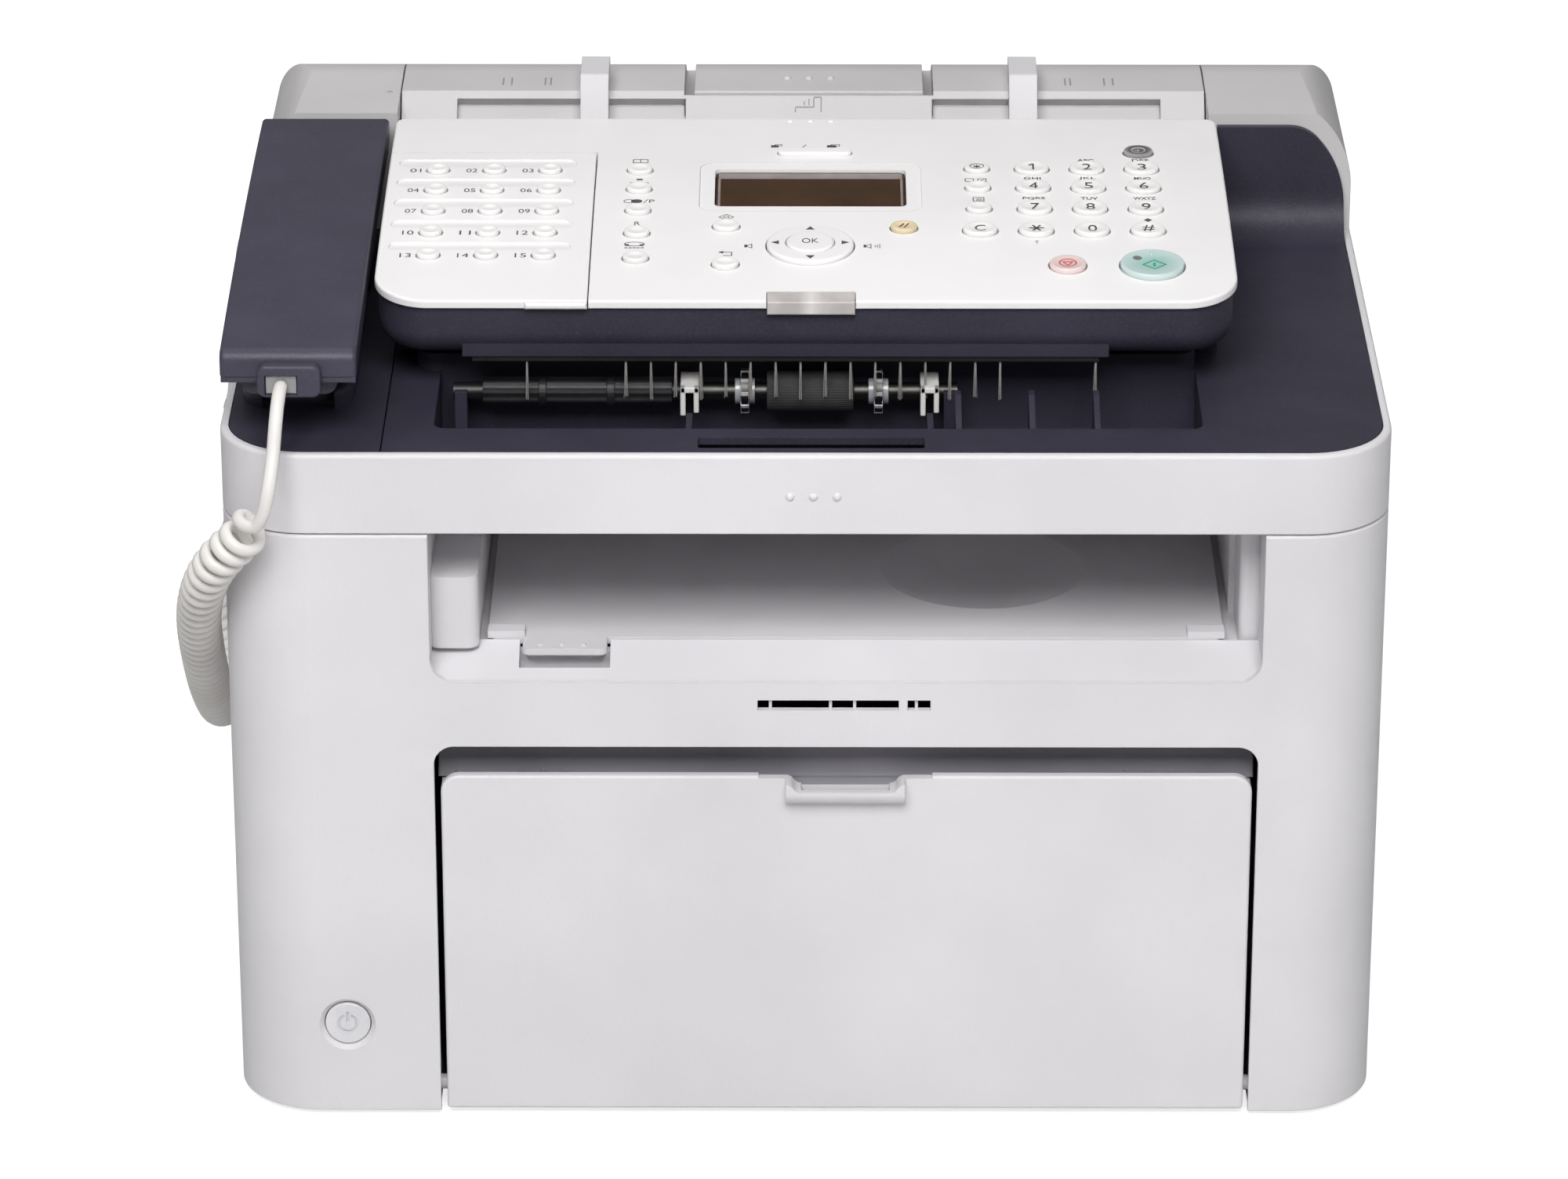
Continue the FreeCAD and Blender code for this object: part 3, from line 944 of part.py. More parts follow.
handset_face = crowned_slab(handset_top, face_x0, face_x1, HS_D0 + 5, HS_D1 - 3, HS_SHELL + HS_RIM / 2,
                            HS_THICK)
handset_face = round_edges(handset_face, HS_FACE_R,
                           lambda e: e.Length > 150 and e.BoundBox.ZMax < CREST_Z - HS_THICK + 1)
pads = [plan_prism(face_x0 + PAD_IN, face_x1 - PAD_IN, d0, d1, HS_PAD_Z, HS_PAD_Z + PAD_RISE, 8.0, 8.0)
        for d0, d1 in ((MOUTH_D0, MOUTH_D1), (EARPAD_D0, EARPAD_D1))]
jack = front_prism(JACK_X0, JACK_X1, JACK_Z0, JACK_Z1, JACK_D0, HS_D0, JACK_R, JACK_R)
jack = round_edges(jack, 1.0, lambda e: e.BoundBox.YMax < y_at(JACK_D0 + 0.01))
jack_box = front_prism(JACK_X0, JACK_X1, JACK_Z0, handset_top(HS_D0) - HS_SHELL - HS_SEAM, HS_D0 - 1,
                       PLUG_D0 + PLUG_LEN + WALL, JACK_R)
export("handset_face", fuse(rim, handset_face, jack, jack_box, *pads).cut(cavity))
export("handset_plug", block(PLUG_X - PLUG_W / 2, PLUG_X + PLUG_W / 2, PLUG_D0, PLUG_D0 + PLUG_LEN,
                             PLUG_Z - PLUG_H / 2, PLUG_Z + PLUG_H / 2))

# Handset cradle: left part of the deck, two raised rests with wells for the pads
REST_Z = 239.5
REST_WALL = 3.2
REST_FOOT_R = 1.5
WELL_Z = HS_PAD_Z - FIT
WELL_GAP = 1.2
HOOK_X = -162.5
HOOK_D = 166.0
HOOK_R = 3.2
HOOK_LEN = 16.0
cradle = cover_plan(DECK_IN, DECK_IN, DECK_REAR_D, DECK_Z - DECK_T, DECK_Z)
cradle = cradle.common(block(-BODY_W, SPLIT_X, 0, BODY_D, 0, CREST_Z))
rests = []
wells = []
for d0, d1 in ((MOUTH_D0, MOUTH_D1), (EARPAD_D0, EARPAD_D1)):
    well_x0, well_x1 = face_x0 + PAD_IN - WELL_GAP, face_x1 - PAD_IN + WELL_GAP
    well_d0, well_d1 = d0 - WELL_GAP, d1 + WELL_GAP
    well_r = 8.0 + WELL_GAP
    wells.append(plan_prism(well_x0, well_x1, well_d0, well_d1, WELL_Z, REST_Z + 1, well_r, well_r))
    rest = plan_prism(well_x0 - REST_WALL, well_x1 + REST_WALL, well_d0 - REST_WALL, well_d1 + REST_WALL,
                      DECK_Z - 1, REST_Z,
                      well_r + REST_WALL, well_r + REST_WALL)
    rests.append(round_edges(rest, REST_FOOT_R, lambda e: e.BoundBox.ZMin > REST_Z - 0.1))
jack_notch = plan_prism(JACK_X0 - REST_FOOT_R, JACK_X1 + REST_FOOT_R, 0.0, MOUTH_D0 + 1, DECK_Z, REST_Z + 1)
cradle = fuse(cradle, *rests).cut(wells + [jack_notch, post(HOOK_X, HOOK_D, 200.0, 260.0, HOOK_R + FIT)])
export("handset_cradle", cradle)
export("hook_switch", fuse(post(HOOK_X, HOOK_D, WELL_Z - HOOK_LEN, WELL_Z, HOOK_R),
                           post(HOOK_X, HOOK_D, WELL_Z - HOOK_LEN, WELL_Z - HOOK_LEN + 2, HOOK_R + 2)))

# Rear caps and document tray: one smooth back over the printer cover
CAP_LEFT_X = 138.5
CAP_RIGHT_X = 136.5
TRAY_GAP = 0.5
SLOPE_D = CAP_D + 1.0
SLOPE_Z = 257.0
RIM_Z = CREST_Z + RIM_RISE
BACK_BULGE = 0.7
back_end = (COVER_REAR_D - 1, DECK_Z)
back_mid = (RIM_REAR_D + BACK_BULGE * (back_end[0] - RIM_REAR_D), RIM_Z - (1 - BACK_BULGE) * (RIM_Z - DECK_Z))
for side, node, x_in in ((-1, "left_rear_cap", CAP_LEFT_X), (1, "right_rear_cap", CAP_RIGHT_X)):
    span = sorted((side * x_in, side * HALF_W))
    cap = side_prism(span[0], span[1], (CAP_D, DECK_Z), (CAP_D, CREST_Z), (RIM_REAR_D, RIM_Z),
                     (back_mid, back_end))
    export(node, cap.common(shoulder(side, 0.4, x_in - 1, RIM_Z + 0.5, CAP_D - 1, BODY_D)))

slope_len = math.hypot(RIM_D - SLOPE_D, RIM_Z - SLOPE_Z)
slope_u = ((RIM_D - SLOPE_D) / slope_len, (RIM_Z - SLOPE_Z) / slope_len)


def on_slope(along, under):
    """A point in depth and height, measured along the tray's slope and into it."""
    return (SLOPE_D + along * slope_u[0] + under * slope_u[1],
            SLOPE_Z + along * slope_u[1] - under * slope_u[0])


POCKET = 5.0
BEAM_LIP = 3.0
POCKET_IN = 42.0
POCKET_OUT = 119.0
EXT_HALF = 39.0
EXT_X = 1.0
EXT_SLOT = 3.5
EXT_Z = 268.0
EXT_D = RIM_D - 1.0
BLADE_UNDER = 12.5
BLADE_T = 3.0
BLADE_LOW = -8.0
BLADE_HIGH = 30.0
pocket_end = slope_len - BEAM_LIP
tray_line = [(SLOPE_D, DECK_Z), (SLOPE_D, SLOPE_Z), (RIM_D, RIM_Z), (RIM_REAR_D, RIM_Z), (back_mid, back_end)]
tray = side_prism(-CAP_LEFT_X + TRAY_GAP, CAP_RIGHT_X - TRAY_GAP, *tray_line)
pockets = [side_prism(x0, x1, on_slope(0.0, -2.0), on_slope(0.0, POCKET), on_slope(pocket_end, POCKET),
                      on_slope(pocket_end, -2.0))
           for x0, x1 in ((-POCKET_OUT, EXT_X - POCKET_IN), (EXT_X + POCKET_IN, POCKET_OUT + 2))]
notch = block(EXT_X - EXT_HALF - EXT_SLOT, EXT_X + EXT_HALF + EXT_SLOT, EXT_D, BODY_D, EXT_Z, RIM_Z + 5)
channel = side_prism(EXT_X - EXT_HALF + 4, EXT_X + EXT_HALF - 4, on_slope(BLADE_LOW - 4, BLADE_UNDER - FIT),
                     on_slope(BLADE_LOW - 4, BLADE_UNDER + BLADE_T + FIT),
                     on_slope(BLADE_HIGH + 12, BLADE_UNDER + BLADE_T + FIT),
                     on_slope(BLADE_HIGH + 12, BLADE_UNDER - FIT))
export("document_tray", tray.cut(pockets + [notch, channel]))
blade = side_prism(EXT_X - EXT_HALF + 4.5, EXT_X + EXT_HALF - 4.5, on_slope(BLADE_LOW, BLADE_UNDER),
                   on_slope(BLADE_LOW, BLADE_UNDER + BLADE_T), on_slope(BLADE_HIGH, BLADE_UNDER + BLADE_T),
                   on_slope(BLADE_HIGH, BLADE_UNDER))
head = side_prism(EXT_X - EXT_HALF, EXT_X + EXT_HALF, *tray_line)
head = head.common(block(-BODY_W, BODY_W, EXT_D + TRAY_GAP, BODY_D, EXT_Z + FIT, RIM_Z + 1))
ext_dots = [Part.makeSphere(DOT_R, V(EXT_X + k * DOT_PITCH, y_at(RIM_REAR_D - 5),
                                     RIM_Z - 0.6)) for k in (-1, 0, 1)]
export("document_tray_extension", fuse(head, blade, *ext_dots))

# Document guides: hooked over the tray's rim, they part and close together
GUIDE_W = 9.6
GUIDE_X = 73.0
GUIDE_TOP_Z = 284.5
GUIDE_PROUD = 3.0
for side, node in ((-1, "document_guide_left"), (1, "document_guide_right")):
    x0 = EXT_X + side * GUIDE_X - GUIDE_W / 2
    guide = side_prism(x0, x0 + GUIDE_W, on_slope(4.0, POCKET - FIT),
                       on_slope(pocket_end - FIT, POCKET - FIT),
                       on_slope(pocket_end - FIT, -FIT), (RIM_D - FIT, RIM_Z + FIT),
                       (RIM_REAR_D - 2, RIM_Z + FIT),
                       (RIM_REAR_D - 2, GUIDE_TOP_Z),
                       (RIM_D - 4, GUIDE_TOP_Z), on_slope(4.0, -GUIDE_PROUD))
    guide = round_edges(guide, 1.5, lambda e: runs_along("X")(e) and e.BoundBox.ZMin > GUIDE_TOP_Z - 0.1)
    export(node, guide)

# Operation panel: white bezel on a navy tub that swings up at its rear edge
PANEL_HALF = 138.5
PANEL_D0 = 50.0
PANEL_FRONT_R = 18.0
PANEL_REAR_R = 4.0
BEZEL_T = 2.6
SKIN_ROUND = 0.9
TUB_IN = 1.2
TUB_WALL = 2.5
TUB_ROUND = 8.0
ONE_TOUCH_X = -69.4
ONE_TOUCH_D = 165.0
KEY_PROUD = 1.4
KEY_DEEP = 6.0
KEY_LIP = 0.8
KEY_ROUND = 0.5
KEY_GAP = 0.45
KEY_DISH = 0.45
LENS_X0 = -12.6
LENS_X1 = 15.9
LENS_D = 56.0
LCD_X0 = -30.0
LCD_X1 = 33.0
LCD_D0 = 120.4
LCD_D1 = 150.8
LCD_FRAME = 5.0
LCD_SINK = 1.6
LCD_T = 2.4
DISH_SINK = 0.5


def on_panel(shape, x, depth, tilt=PRESS_TILT):
    """Moves a shape drawn about the origin to a place on the panel, its Z along the press axis."""
    shape.rotate(V(0, 0, 0), V(1, 0, 0), tilt)
    shape.translate(V(x, y_at(depth), crown(depth)))
    return shape


def oval(half_w, half_d, z0, z1):
    face = Part.Face(Part.Wire(Part.Ellipse(V(0, 0, z0), half_w, half_d).toShape()))
    return face.extrude(V(0, 0, z1 - z0))


def oval_key(x, depth, half_w, half_d, proud=KEY_PROUD):
    """A key cap with a lip that keeps it under the panel."""
    cap = oval(half_w, half_d, -KEY_DEEP, proud)
    cap = round_edges(cap, KEY_ROUND, lambda e: e.BoundBox.ZMin > proud - 0.01)
    dish_r = half_d - 2 * KEY_ROUND
    ball_r = (dish_r ** 2 + KEY_DISH ** 2) / (2 * KEY_DISH)
    cap = cap.cut(Part.makeSphere(ball_r, V(0, 0, proud + ball_r - KEY_DISH)))
    lip = oval(half_w + KEY_LIP, half_d + KEY_LIP, -BEZEL_T - 2 * FIT - 1, -BEZEL_T - 2 * FIT)
    return on_panel(cap.fuse(lip).removeSplitter(), x, depth)


def key_hole(x, depth, half_w, half_d):
    return on_panel(oval(half_w + KEY_GAP, half_d + KEY_GAP, -KEY_DEEP, KEY_DEEP), x, depth)


ROW_DEPTHS = (148.8, 132.0, 115.2, 98.4, 81.6)
ONE_TOUCH = [(x, d, 3.65, 3.3) for d in ROW_DEPTHS for x in (-122.0, -103.4, -84.8)]
NUMBERS = [(x, d, 5.6, 4.8) for d in (150.0, 134.0, 117.0, 100.0) for x in (74.9, 93.1, 111.3)]
LEFT_KEYS = [(-55.0, d, 4.1, 3.6) for d in (148.8, 132.8, 115.5, 97.9, 79.4)]
RIGHT_KEYS = [(56.7, d, 4.1, 3.6) for d in (150.2, 134.0, 117.0)]
OTHER_KEYS = [(56.7, 100.2, 5.6, 4.8), (-26.0, 103.0, 4.3, 3.7), (-26.0, 75.0, 4.3, 3.7)]
FUNCTIONS = LEFT_KEYS + RIGHT_KEYS + OTHER_KEYS
CLEAR = (31.9, 101.9, 4.3, 3.9)
ENERGY = (110.9, 164.6, 4.8, 4.2)
STOP = (84.3, 74.5, 5.9, 5.9)
START = (111.5, 74.5, 10.3, 10.3)
NAV_X = 1.4
NAV_D = 88.8
NAV_R = 14.1
OK_R = 7.8
MODE_X = 2.95
MODE_D = 164.3
MODE_HALF_W = 12.2
MODE_HALF_D = 2.2


def lies_on_crown(edge):
    """An edge test: every corner of the edge is on the panel's upper surface."""
    return all(abs(v.Z - crown(v.Y - FACE_Y)) < FIT / 2 for v in edge.Vertexes)


def panel_skin(x0, x1, d0, d1):
    """The part of the crowned bezel between two sides and two depths."""
    skin = crowned_slab(crown, -HALF_W, HALF_W, PANEL_D0 - PANEL_FRONT_R, CREST_D + PANEL_REAR_R, 0.0,
                        BEZEL_T)
    skin = skin.common(plan_prism(-PANEL_HALF, PANEL_HALF, PANEL_D0, CREST_D, DECK_Z, CREST_Z + 9,
                                  PANEL_FRONT_R, PANEL_REAR_R))
    skin = round_edges(skin, SKIN_ROUND, lambda e: lies_on_crown(e))
    return skin.common(block(x0, x1, d0, d1, DECK_Z, CREST_Z + 9))


def rounded_key(half_w, half_d, z0, z1, radius):
    face = outline(lambda p: V(p[0], p[1], z0), *rounded(-half_w, half_w, -half_d, half_d, radius, radius))
    return face.extrude(V(0, 0, z1 - z0))


bezel = panel_skin(-BODY_W, BODY_W, 0.0, BODY_D)
bezel = bezel.cut(block(-BODY_W, ONE_TOUCH_X, 0.0, ONE_TOUCH_D, DECK_Z, CREST_Z + 9))
lcd_x = (LCD_X0 + LCD_X1) / 2
lcd_d = (LCD_D0 + LCD_D1) / 2
lcd_half_w = (LCD_X1 - LCD_X0) / 2
lcd_half_d = (LCD_D1 - LCD_D0) / 2
dish = on_panel(rounded_key(lcd_half_w + LCD_FRAME, lcd_half_d + LCD_FRAME, -DISH_SINK, KEY_DEEP, 5.0),
                lcd_x, lcd_d)
glass_hole = on_panel(rounded_key(lcd_half_w, lcd_half_d, -2 * KEY_DEEP, KEY_DEEP, 2.0), lcd_x, lcd_d)
nav_hole = key_hole(NAV_X, NAV_D, NAV_R, NAV_R)
mode_hole = on_panel(rounded_key(MODE_HALF_W + FIT, MODE_HALF_D + FIT, -KEY_DEEP, KEY_DEEP, MODE_HALF_D),
                     MODE_X, MODE_D)
lens_notch = block(LENS_X0, LENS_X1, 0.0, LENS_D, DECK_Z, CREST_Z + 9)
holes = [key_hole(*k) for k in NUMBERS + FUNCTIONS + [CLEAR, ENERGY, STOP, START]]
bezel = bezel.cut([dish]).cut(holes + [glass_hole, nav_hole, mode_hole, lens_notch])
export("panel_bezel", bezel)

plate = panel_skin(-BODY_W, ONE_TOUCH_X - SPLIT_GAP, 0.0, ONE_TOUCH_D - SPLIT_GAP)
POCKET_X = -105.7
POCKET_HALF_W = 29.4
POCKET_HALF_D = 3.4
POCKET_BEHIND = 6.4
POCKET_SINK = 0.3
POCKET_TILT = 5.5
pockets = [on_panel(rounded_key(POCKET_HALF_W, POCKET_HALF_D, -POCKET_SINK, KEY_DEEP, POCKET_HALF_D - FIT),
                    POCKET_X,
                    depth + POCKET_BEHIND, PRESS_TILT - POCKET_TILT) for depth in ROW_DEPTHS]
TAB_W = 20.0
TAB_OUT = 1.6
TAB_IN = 1.0
tab_x1 = ONE_TOUCH_X - SPLIT_GAP
tab = block(tab_x1 - TAB_W, tab_x1, PANEL_D0 - TAB_OUT, PANEL_D0 + TAB_IN, crown(PANEL_D0) - BEZEL_T,
            crown(PANEL_D0) - FIT)
tab = round_edges(tab, SKIN_ROUND, lambda e: abs(e.BoundBox.YMax - y_at(PANEL_D0 - TAB_OUT)) < FIT / 2)
plate = fuse(plate, tab)
export("one_touch_plate", plate.cut(pockets).cut([key_hole(*k) for k in ONE_TOUCH]))

room = crowned_slab(crown, -PANEL_HALF, PANEL_HALF, PANEL_D0, CREST_D, BEZEL_T,
                    2 * BEZEL_T + CREST_Z - DECK_Z)
tub = plan_prism(-PANEL_HALF + TUB_IN, PANEL_HALF - TUB_IN, PANEL_D0 + TUB_IN, CREST_D - TUB_IN,
                 PANEL_FLOOR_Z, CREST_Z,
                 PANEL_FRONT_R - TUB_IN, PANEL_REAR_R - TUB_IN)
tub = round_edges(tub, TUB_ROUND,
                  lambda e: abs(e.BoundBox.ZMax - PANEL_FLOOR_Z) < 0.01 and e.BoundBox.YMax < y_at(CREST_D - 9))
tub_in = TUB_IN + TUB_WALL
inner = plan_prism(-PANEL_HALF + tub_in, PANEL_HALF - tub_in, PANEL_D0 + tub_in, CREST_D - tub_in,
                   PANEL_FLOOR_Z + TUB_WALL, CREST_Z, PANEL_FRONT_R - tub_in, PANEL_REAR_R - tub_in)
BRUSH_X0 = -107.0
BRUSH_X1 = 94.0
BRUSH_D0 = 52.6
BRUSH_D1 = 56.0
BRUSH_T = 2.0
TUFT_LEN = 14.5
TUFT_R = 0.45
TUFT_XS = [-89.4] + [-57.7 + 8.0 * k for k in range(16)] + [92.9]
skirt = block(BRUSH_X0 - 3, BRUSH_X1 + 3, BRUSH_D0 - 0.6, BRUSH_D0 + 9, PANEL_FLOOR_Z,
              PANEL_FLOOR_Z + TUB_ROUND)
pivot_slots = []
pivot_lugs = []
for x in (-PIVOT_X, PIVOT_X):
    pivot_slots.append(block(x - SLOT_HALF, x + SLOT_HALF, PIVOT_D - 9, CREST_D + 1, PANEL_FLOOR_Z - 1,
                             PIVOT_Z + PIVOT_ROOM))
    for lug_x in (x - SLOT_HALF - LUG_T, x + SLOT_HALF):
        pivot_lugs.append(block(lug_x, lug_x + LUG_T, PIVOT_D - 6, CREST_D - 2, PANEL_FLOOR_Z + 1,
                                PIVOT_Z + PIVOT_ROOM))
    pivot_lugs.append(rod(x - SLOT_HALF - 1, x + SLOT_HALF + 1, PIVOT_D, PIVOT_Z, PIVOT_PIN_R))
tub = fuse(tub.common(room).cut(inner), skirt)
tub = fuse(tub.cut(pivot_slots), *pivot_lugs)
export("panel_tub", tub)

# Antistatic brush: a strip under the panel's front edge with hanging tufts
strip = block(BRUSH_X0, BRUSH_X1, BRUSH_D0, BRUSH_D1, PANEL_FLOOR_Z - BRUSH_T, PANEL_FLOOR_Z)
tufts = [post(x, BRUSH_D0 + 1.0, PANEL_FLOOR_Z - TUFT_LEN, PANEL_FLOOR_Z - BRUSH_T / 2,
              TUFT_R) for x in TUFT_XS]
export("antistatic_brush", fuse(strip, *tufts))

# Status lens at the panel's front edge, and the display window in its dish
LENS_FIT = 0.2
LENS_OUT = 1.2
LENS_DROP = 4.4
lens = crowned_slab(crown, LENS_X0 + LENS_FIT, LENS_X1 - LENS_FIT, PANEL_D0 - LENS_OUT, LENS_D - LENS_FIT,
                    -LENS_FIT, BEZEL_T)
lens_front = block(LENS_X0 + LENS_FIT, LENS_X1 - LENS_FIT, PANEL_D0 - LENS_OUT, PANEL_D0 + TUB_IN - FIT,
                   crown(PANEL_D0) - LENS_DROP, crown(PANEL_D0) - FIT)
lens = fuse(lens, lens_front)
lens = round_edges(lens, SKIN_ROUND / 2, lambda e: abs(e.BoundBox.YMax - y_at(PANEL_D0 - LENS_OUT)) < FIT / 2)
export("status_lens", lens)
window = on_panel(rounded_key(lcd_half_w - FIT, lcd_half_d - FIT, -LCD_SINK - LCD_T, -LCD_SINK, 1.8), lcd_x,
                  lcd_d)
export("lcd_window", window)

# Keys
export("one_touch_keys", Part.makeCompound([oval_key(*k) for k in ONE_TOUCH]))
export("number_keys", Part.makeCompound([oval_key(*k) for k in NUMBERS]))
export("function_keys", Part.makeCompound([oval_key(*k) for k in FUNCTIONS]))
export("clear_key", oval_key(*CLEAR))
export("energy_key", oval_key(*ENERGY))
export("stop_key", oval_key(*STOP))
export("start_key", oval_key(*START))
mode = rounded_key(MODE_HALF_W, MODE_HALF_D, -KEY_DEEP, KEY_PROUD, MODE_HALF_D - 0.1)
mode = round_edges(mode, 0.5, lambda e: e.BoundBox.ZMin > KEY_PROUD - 0.01)
export("mode_key", on_panel(mode, MODE_X, MODE_D))
nav = oval(NAV_R, NAV_R, -KEY_DEEP, KEY_PROUD - 0.2)
nav = round_edges(nav, 0.8, lambda e: e.BoundBox.ZMin > KEY_PROUD - 0.21)
nav = nav.cut(oval(OK_R + FIT, OK_R + FIT, -2 * KEY_DEEP, KEY_DEEP))
export("nav_ring", on_panel(nav, NAV_X, NAV_D))
ok = oval(OK_R, OK_R, -KEY_DEEP, KEY_PROUD + 0.4)
ok = round_edges(ok, 0.8, lambda e: e.BoundBox.ZMin > KEY_PROUD + 0.39)
export("ok_key", on_panel(ok, NAV_X, NAV_D))

# Curly handset cord: straight lead, coil drawn as a plain tube, straight tail and its plug
CORD_R = 2.4
COIL_R = 7.5
CORD_BEND = 12.0
COIL_BEND = 45.0
COIL_TOP = (-175.5, -9.5, 222.0)
COIL_END = (-198.0, 222.0, 165.0)
TAIL_X = -203.0
BASE_PLUG_OUT = 5.5


def cord(points, radius, bend):
    """A round tube along straight runs that tangent arcs join."""
    spots = [V(x, y_at(depth), z) for x, depth, z in points]
    edges = []
    here = spots[0]
    for before, corner, after in zip(spots, spots[1:], spots[2:]):
        come = (corner - before).normalize()
        leave = (after - corner).normalize()
        turn = come.getAngle(leave)
        reach = bend * math.tan(turn / 2)
        start = corner - come * reach
        end = corner + leave * reach
        inward = (leave - come).normalize()
        middle = corner + inward * (bend / math.cos(turn / 2) - bend)
        edges.append(Part.LineSegment(here, start).toShape())
        edges.append(Part.Arc(start, middle, end).toShape())
        here = end
    edges.append(Part.LineSegment(here, spots[-1]).toShape())
    wire = Part.Wire(edges)
    circle = Part.Wire(Part.makeCircle(radius, spots[0], (spots[1] - spots[0]).normalize()))
    return wire.makePipeShell([circle], True, False)


export("handset_cord_lead", cord([(PLUG_X, PLUG_D0 - 0.2, PLUG_Z), (PLUG_X - 0.5, -4.0, PLUG_Z - 0.5),
                                  (-170.2, -13.9, 229.2), (-175.4, -9.6, 222.15)], CORD_R, CORD_BEND))
export("handset_cord_coil", cord([COIL_TOP, (-199.0, 10.0, 190.0), (-198.0, 75.0, 118.0),
                                  (-198.0, 135.0, 72.0),
                                  (-198.0, 200.0, 110.0), COIL_END], COIL_R, COIL_BEND))
export("handset_cord_tail", cord([(-198.0, 222.1, 165.25), (-198.0, 226.0, 175.0),
                                  (TAIL_X, CORD_JACK_D, CORD_JACK_Z),
                                  (-HALF_W - BASE_PLUG_OUT, CORD_JACK_D, CORD_JACK_Z)], CORD_R,
                                 CORD_BEND - 2))
export("base_plug", rod(-HALF_W - BASE_PLUG_OUT, -HALF_W + 6, CORD_JACK_D, CORD_JACK_Z, CORD_JACK_R))
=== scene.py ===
import math

import bmesh
import bpy
from mathutils import Matrix, Vector
from mathutils.bvhtree import BVHTree


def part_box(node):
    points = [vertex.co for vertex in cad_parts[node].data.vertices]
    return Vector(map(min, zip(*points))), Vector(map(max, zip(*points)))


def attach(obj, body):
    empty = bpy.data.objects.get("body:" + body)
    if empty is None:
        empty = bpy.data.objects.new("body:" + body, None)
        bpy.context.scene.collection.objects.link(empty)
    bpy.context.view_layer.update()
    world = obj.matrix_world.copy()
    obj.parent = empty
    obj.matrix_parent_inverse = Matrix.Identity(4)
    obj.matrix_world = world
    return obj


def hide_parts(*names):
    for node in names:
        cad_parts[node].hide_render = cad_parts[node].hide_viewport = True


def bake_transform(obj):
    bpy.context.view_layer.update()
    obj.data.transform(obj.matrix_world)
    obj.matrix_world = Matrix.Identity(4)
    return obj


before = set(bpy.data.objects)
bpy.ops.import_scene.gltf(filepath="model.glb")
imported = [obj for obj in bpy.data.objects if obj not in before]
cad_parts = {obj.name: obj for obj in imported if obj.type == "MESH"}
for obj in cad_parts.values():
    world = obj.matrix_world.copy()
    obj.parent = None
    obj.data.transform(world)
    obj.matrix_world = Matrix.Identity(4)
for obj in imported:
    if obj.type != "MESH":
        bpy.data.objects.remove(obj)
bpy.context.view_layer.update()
scene = bpy.context.scene
scene.view_settings.view_transform = "Standard"


# The studio floor: a sheet of matt white paper that bends up into a wall behind the machine. It is
# overlit, so the camera sees it glow, but it throws no extra light on the machine.
def srgb(code):
    """A hex colour as linear values."""
    parts = [int(code[i:i + 2], 16) / 255 for i in (1, 3, 5)]
    return [c / 12.92 if c <= 0.04045 else ((c + 0.055) / 1.055) ** 2.4 for c in parts] + [1.0]


def add(tree, kind, **values):
    """A node with its settings, and its sockets, by name or as _number, given a value or an output."""
    node = tree.nodes.new(kind)
    for key, value in values.items():
        if key[0].islower():
            setattr(node, key, value)
            continue
        socket = node.inputs[int(key[1:]) if key[0] == "_" else key.replace("_", " ")]
        if isinstance(value, bpy.types.NodeSocket):
            tree.links.new(value, socket)
        else:
            socket.default_value = value
    return node


FLOOR_HALF, BEND_Y, BEND_R, WALL_H = 5.0, 2.2, 1.2, 3.3
PAPER_GLOW = 0.75
WHITE = (1, 1, 1, 1)
sweep_paper = bpy.data.materials.new("white_paper_sweep")
sweep_paper.use_nodes = True
tree = sweep_paper.node_tree
tree.nodes.clear()
seen = add(tree, "ShaderNodeLightPath").outputs["Is Camera Ray"]
matt = add(tree, "ShaderNodeBsdfDiffuse", Color=srgb("#D2D2D2")).outputs[0]
glow = add(tree, "ShaderNodeEmission", Color=WHITE, Strength=PAPER_GLOW).outputs[0]
overlit = add(tree, "ShaderNodeAddShader", _0=matt, _1=glow).outputs[0]
paper = add(tree, "ShaderNodeMixShader", Fac=seen, _1=matt, _2=overlit).outputs[0]
add(tree, "ShaderNodeOutputMaterial", Surface=paper)
bm = bmesh.new()
bmesh.ops.create_grid(bm, x_segments=1, y_segments=1, size=FLOOR_HALF)
far = [e for e in bm.edges if all(v.co.y > 0 for v in e.verts)]
bmesh.ops.translate(bm, verts=[v for e in far for v in e.verts], vec=(0, BEND_Y - FLOOR_HALF, 0))
bmesh.ops.spin(bm, geom=far, cent=(0, BEND_Y, BEND_R), axis=(1, 0, 0), angle=math.pi / 2, steps=16)
top = [e for e in bm.edges if all(v.co.z > BEND_R - 0.01 for v in e.verts)]
wall = bmesh.ops.extrude_edge_only(bm, edges=top)["geom"]
bmesh.ops.translate(bm, verts=[v for v in wall if isinstance(v, bmesh.types.BMVert)], vec=(0, 0, WALL_H))
mesh = bpy.data.meshes.new("sweep")
bm.to_mesh(mesh)
bm.free()
mesh.materials.append(sweep_paper)
sweep = bpy.data.objects.new("sweep", mesh)
scene.collection.objects.link(sweep)

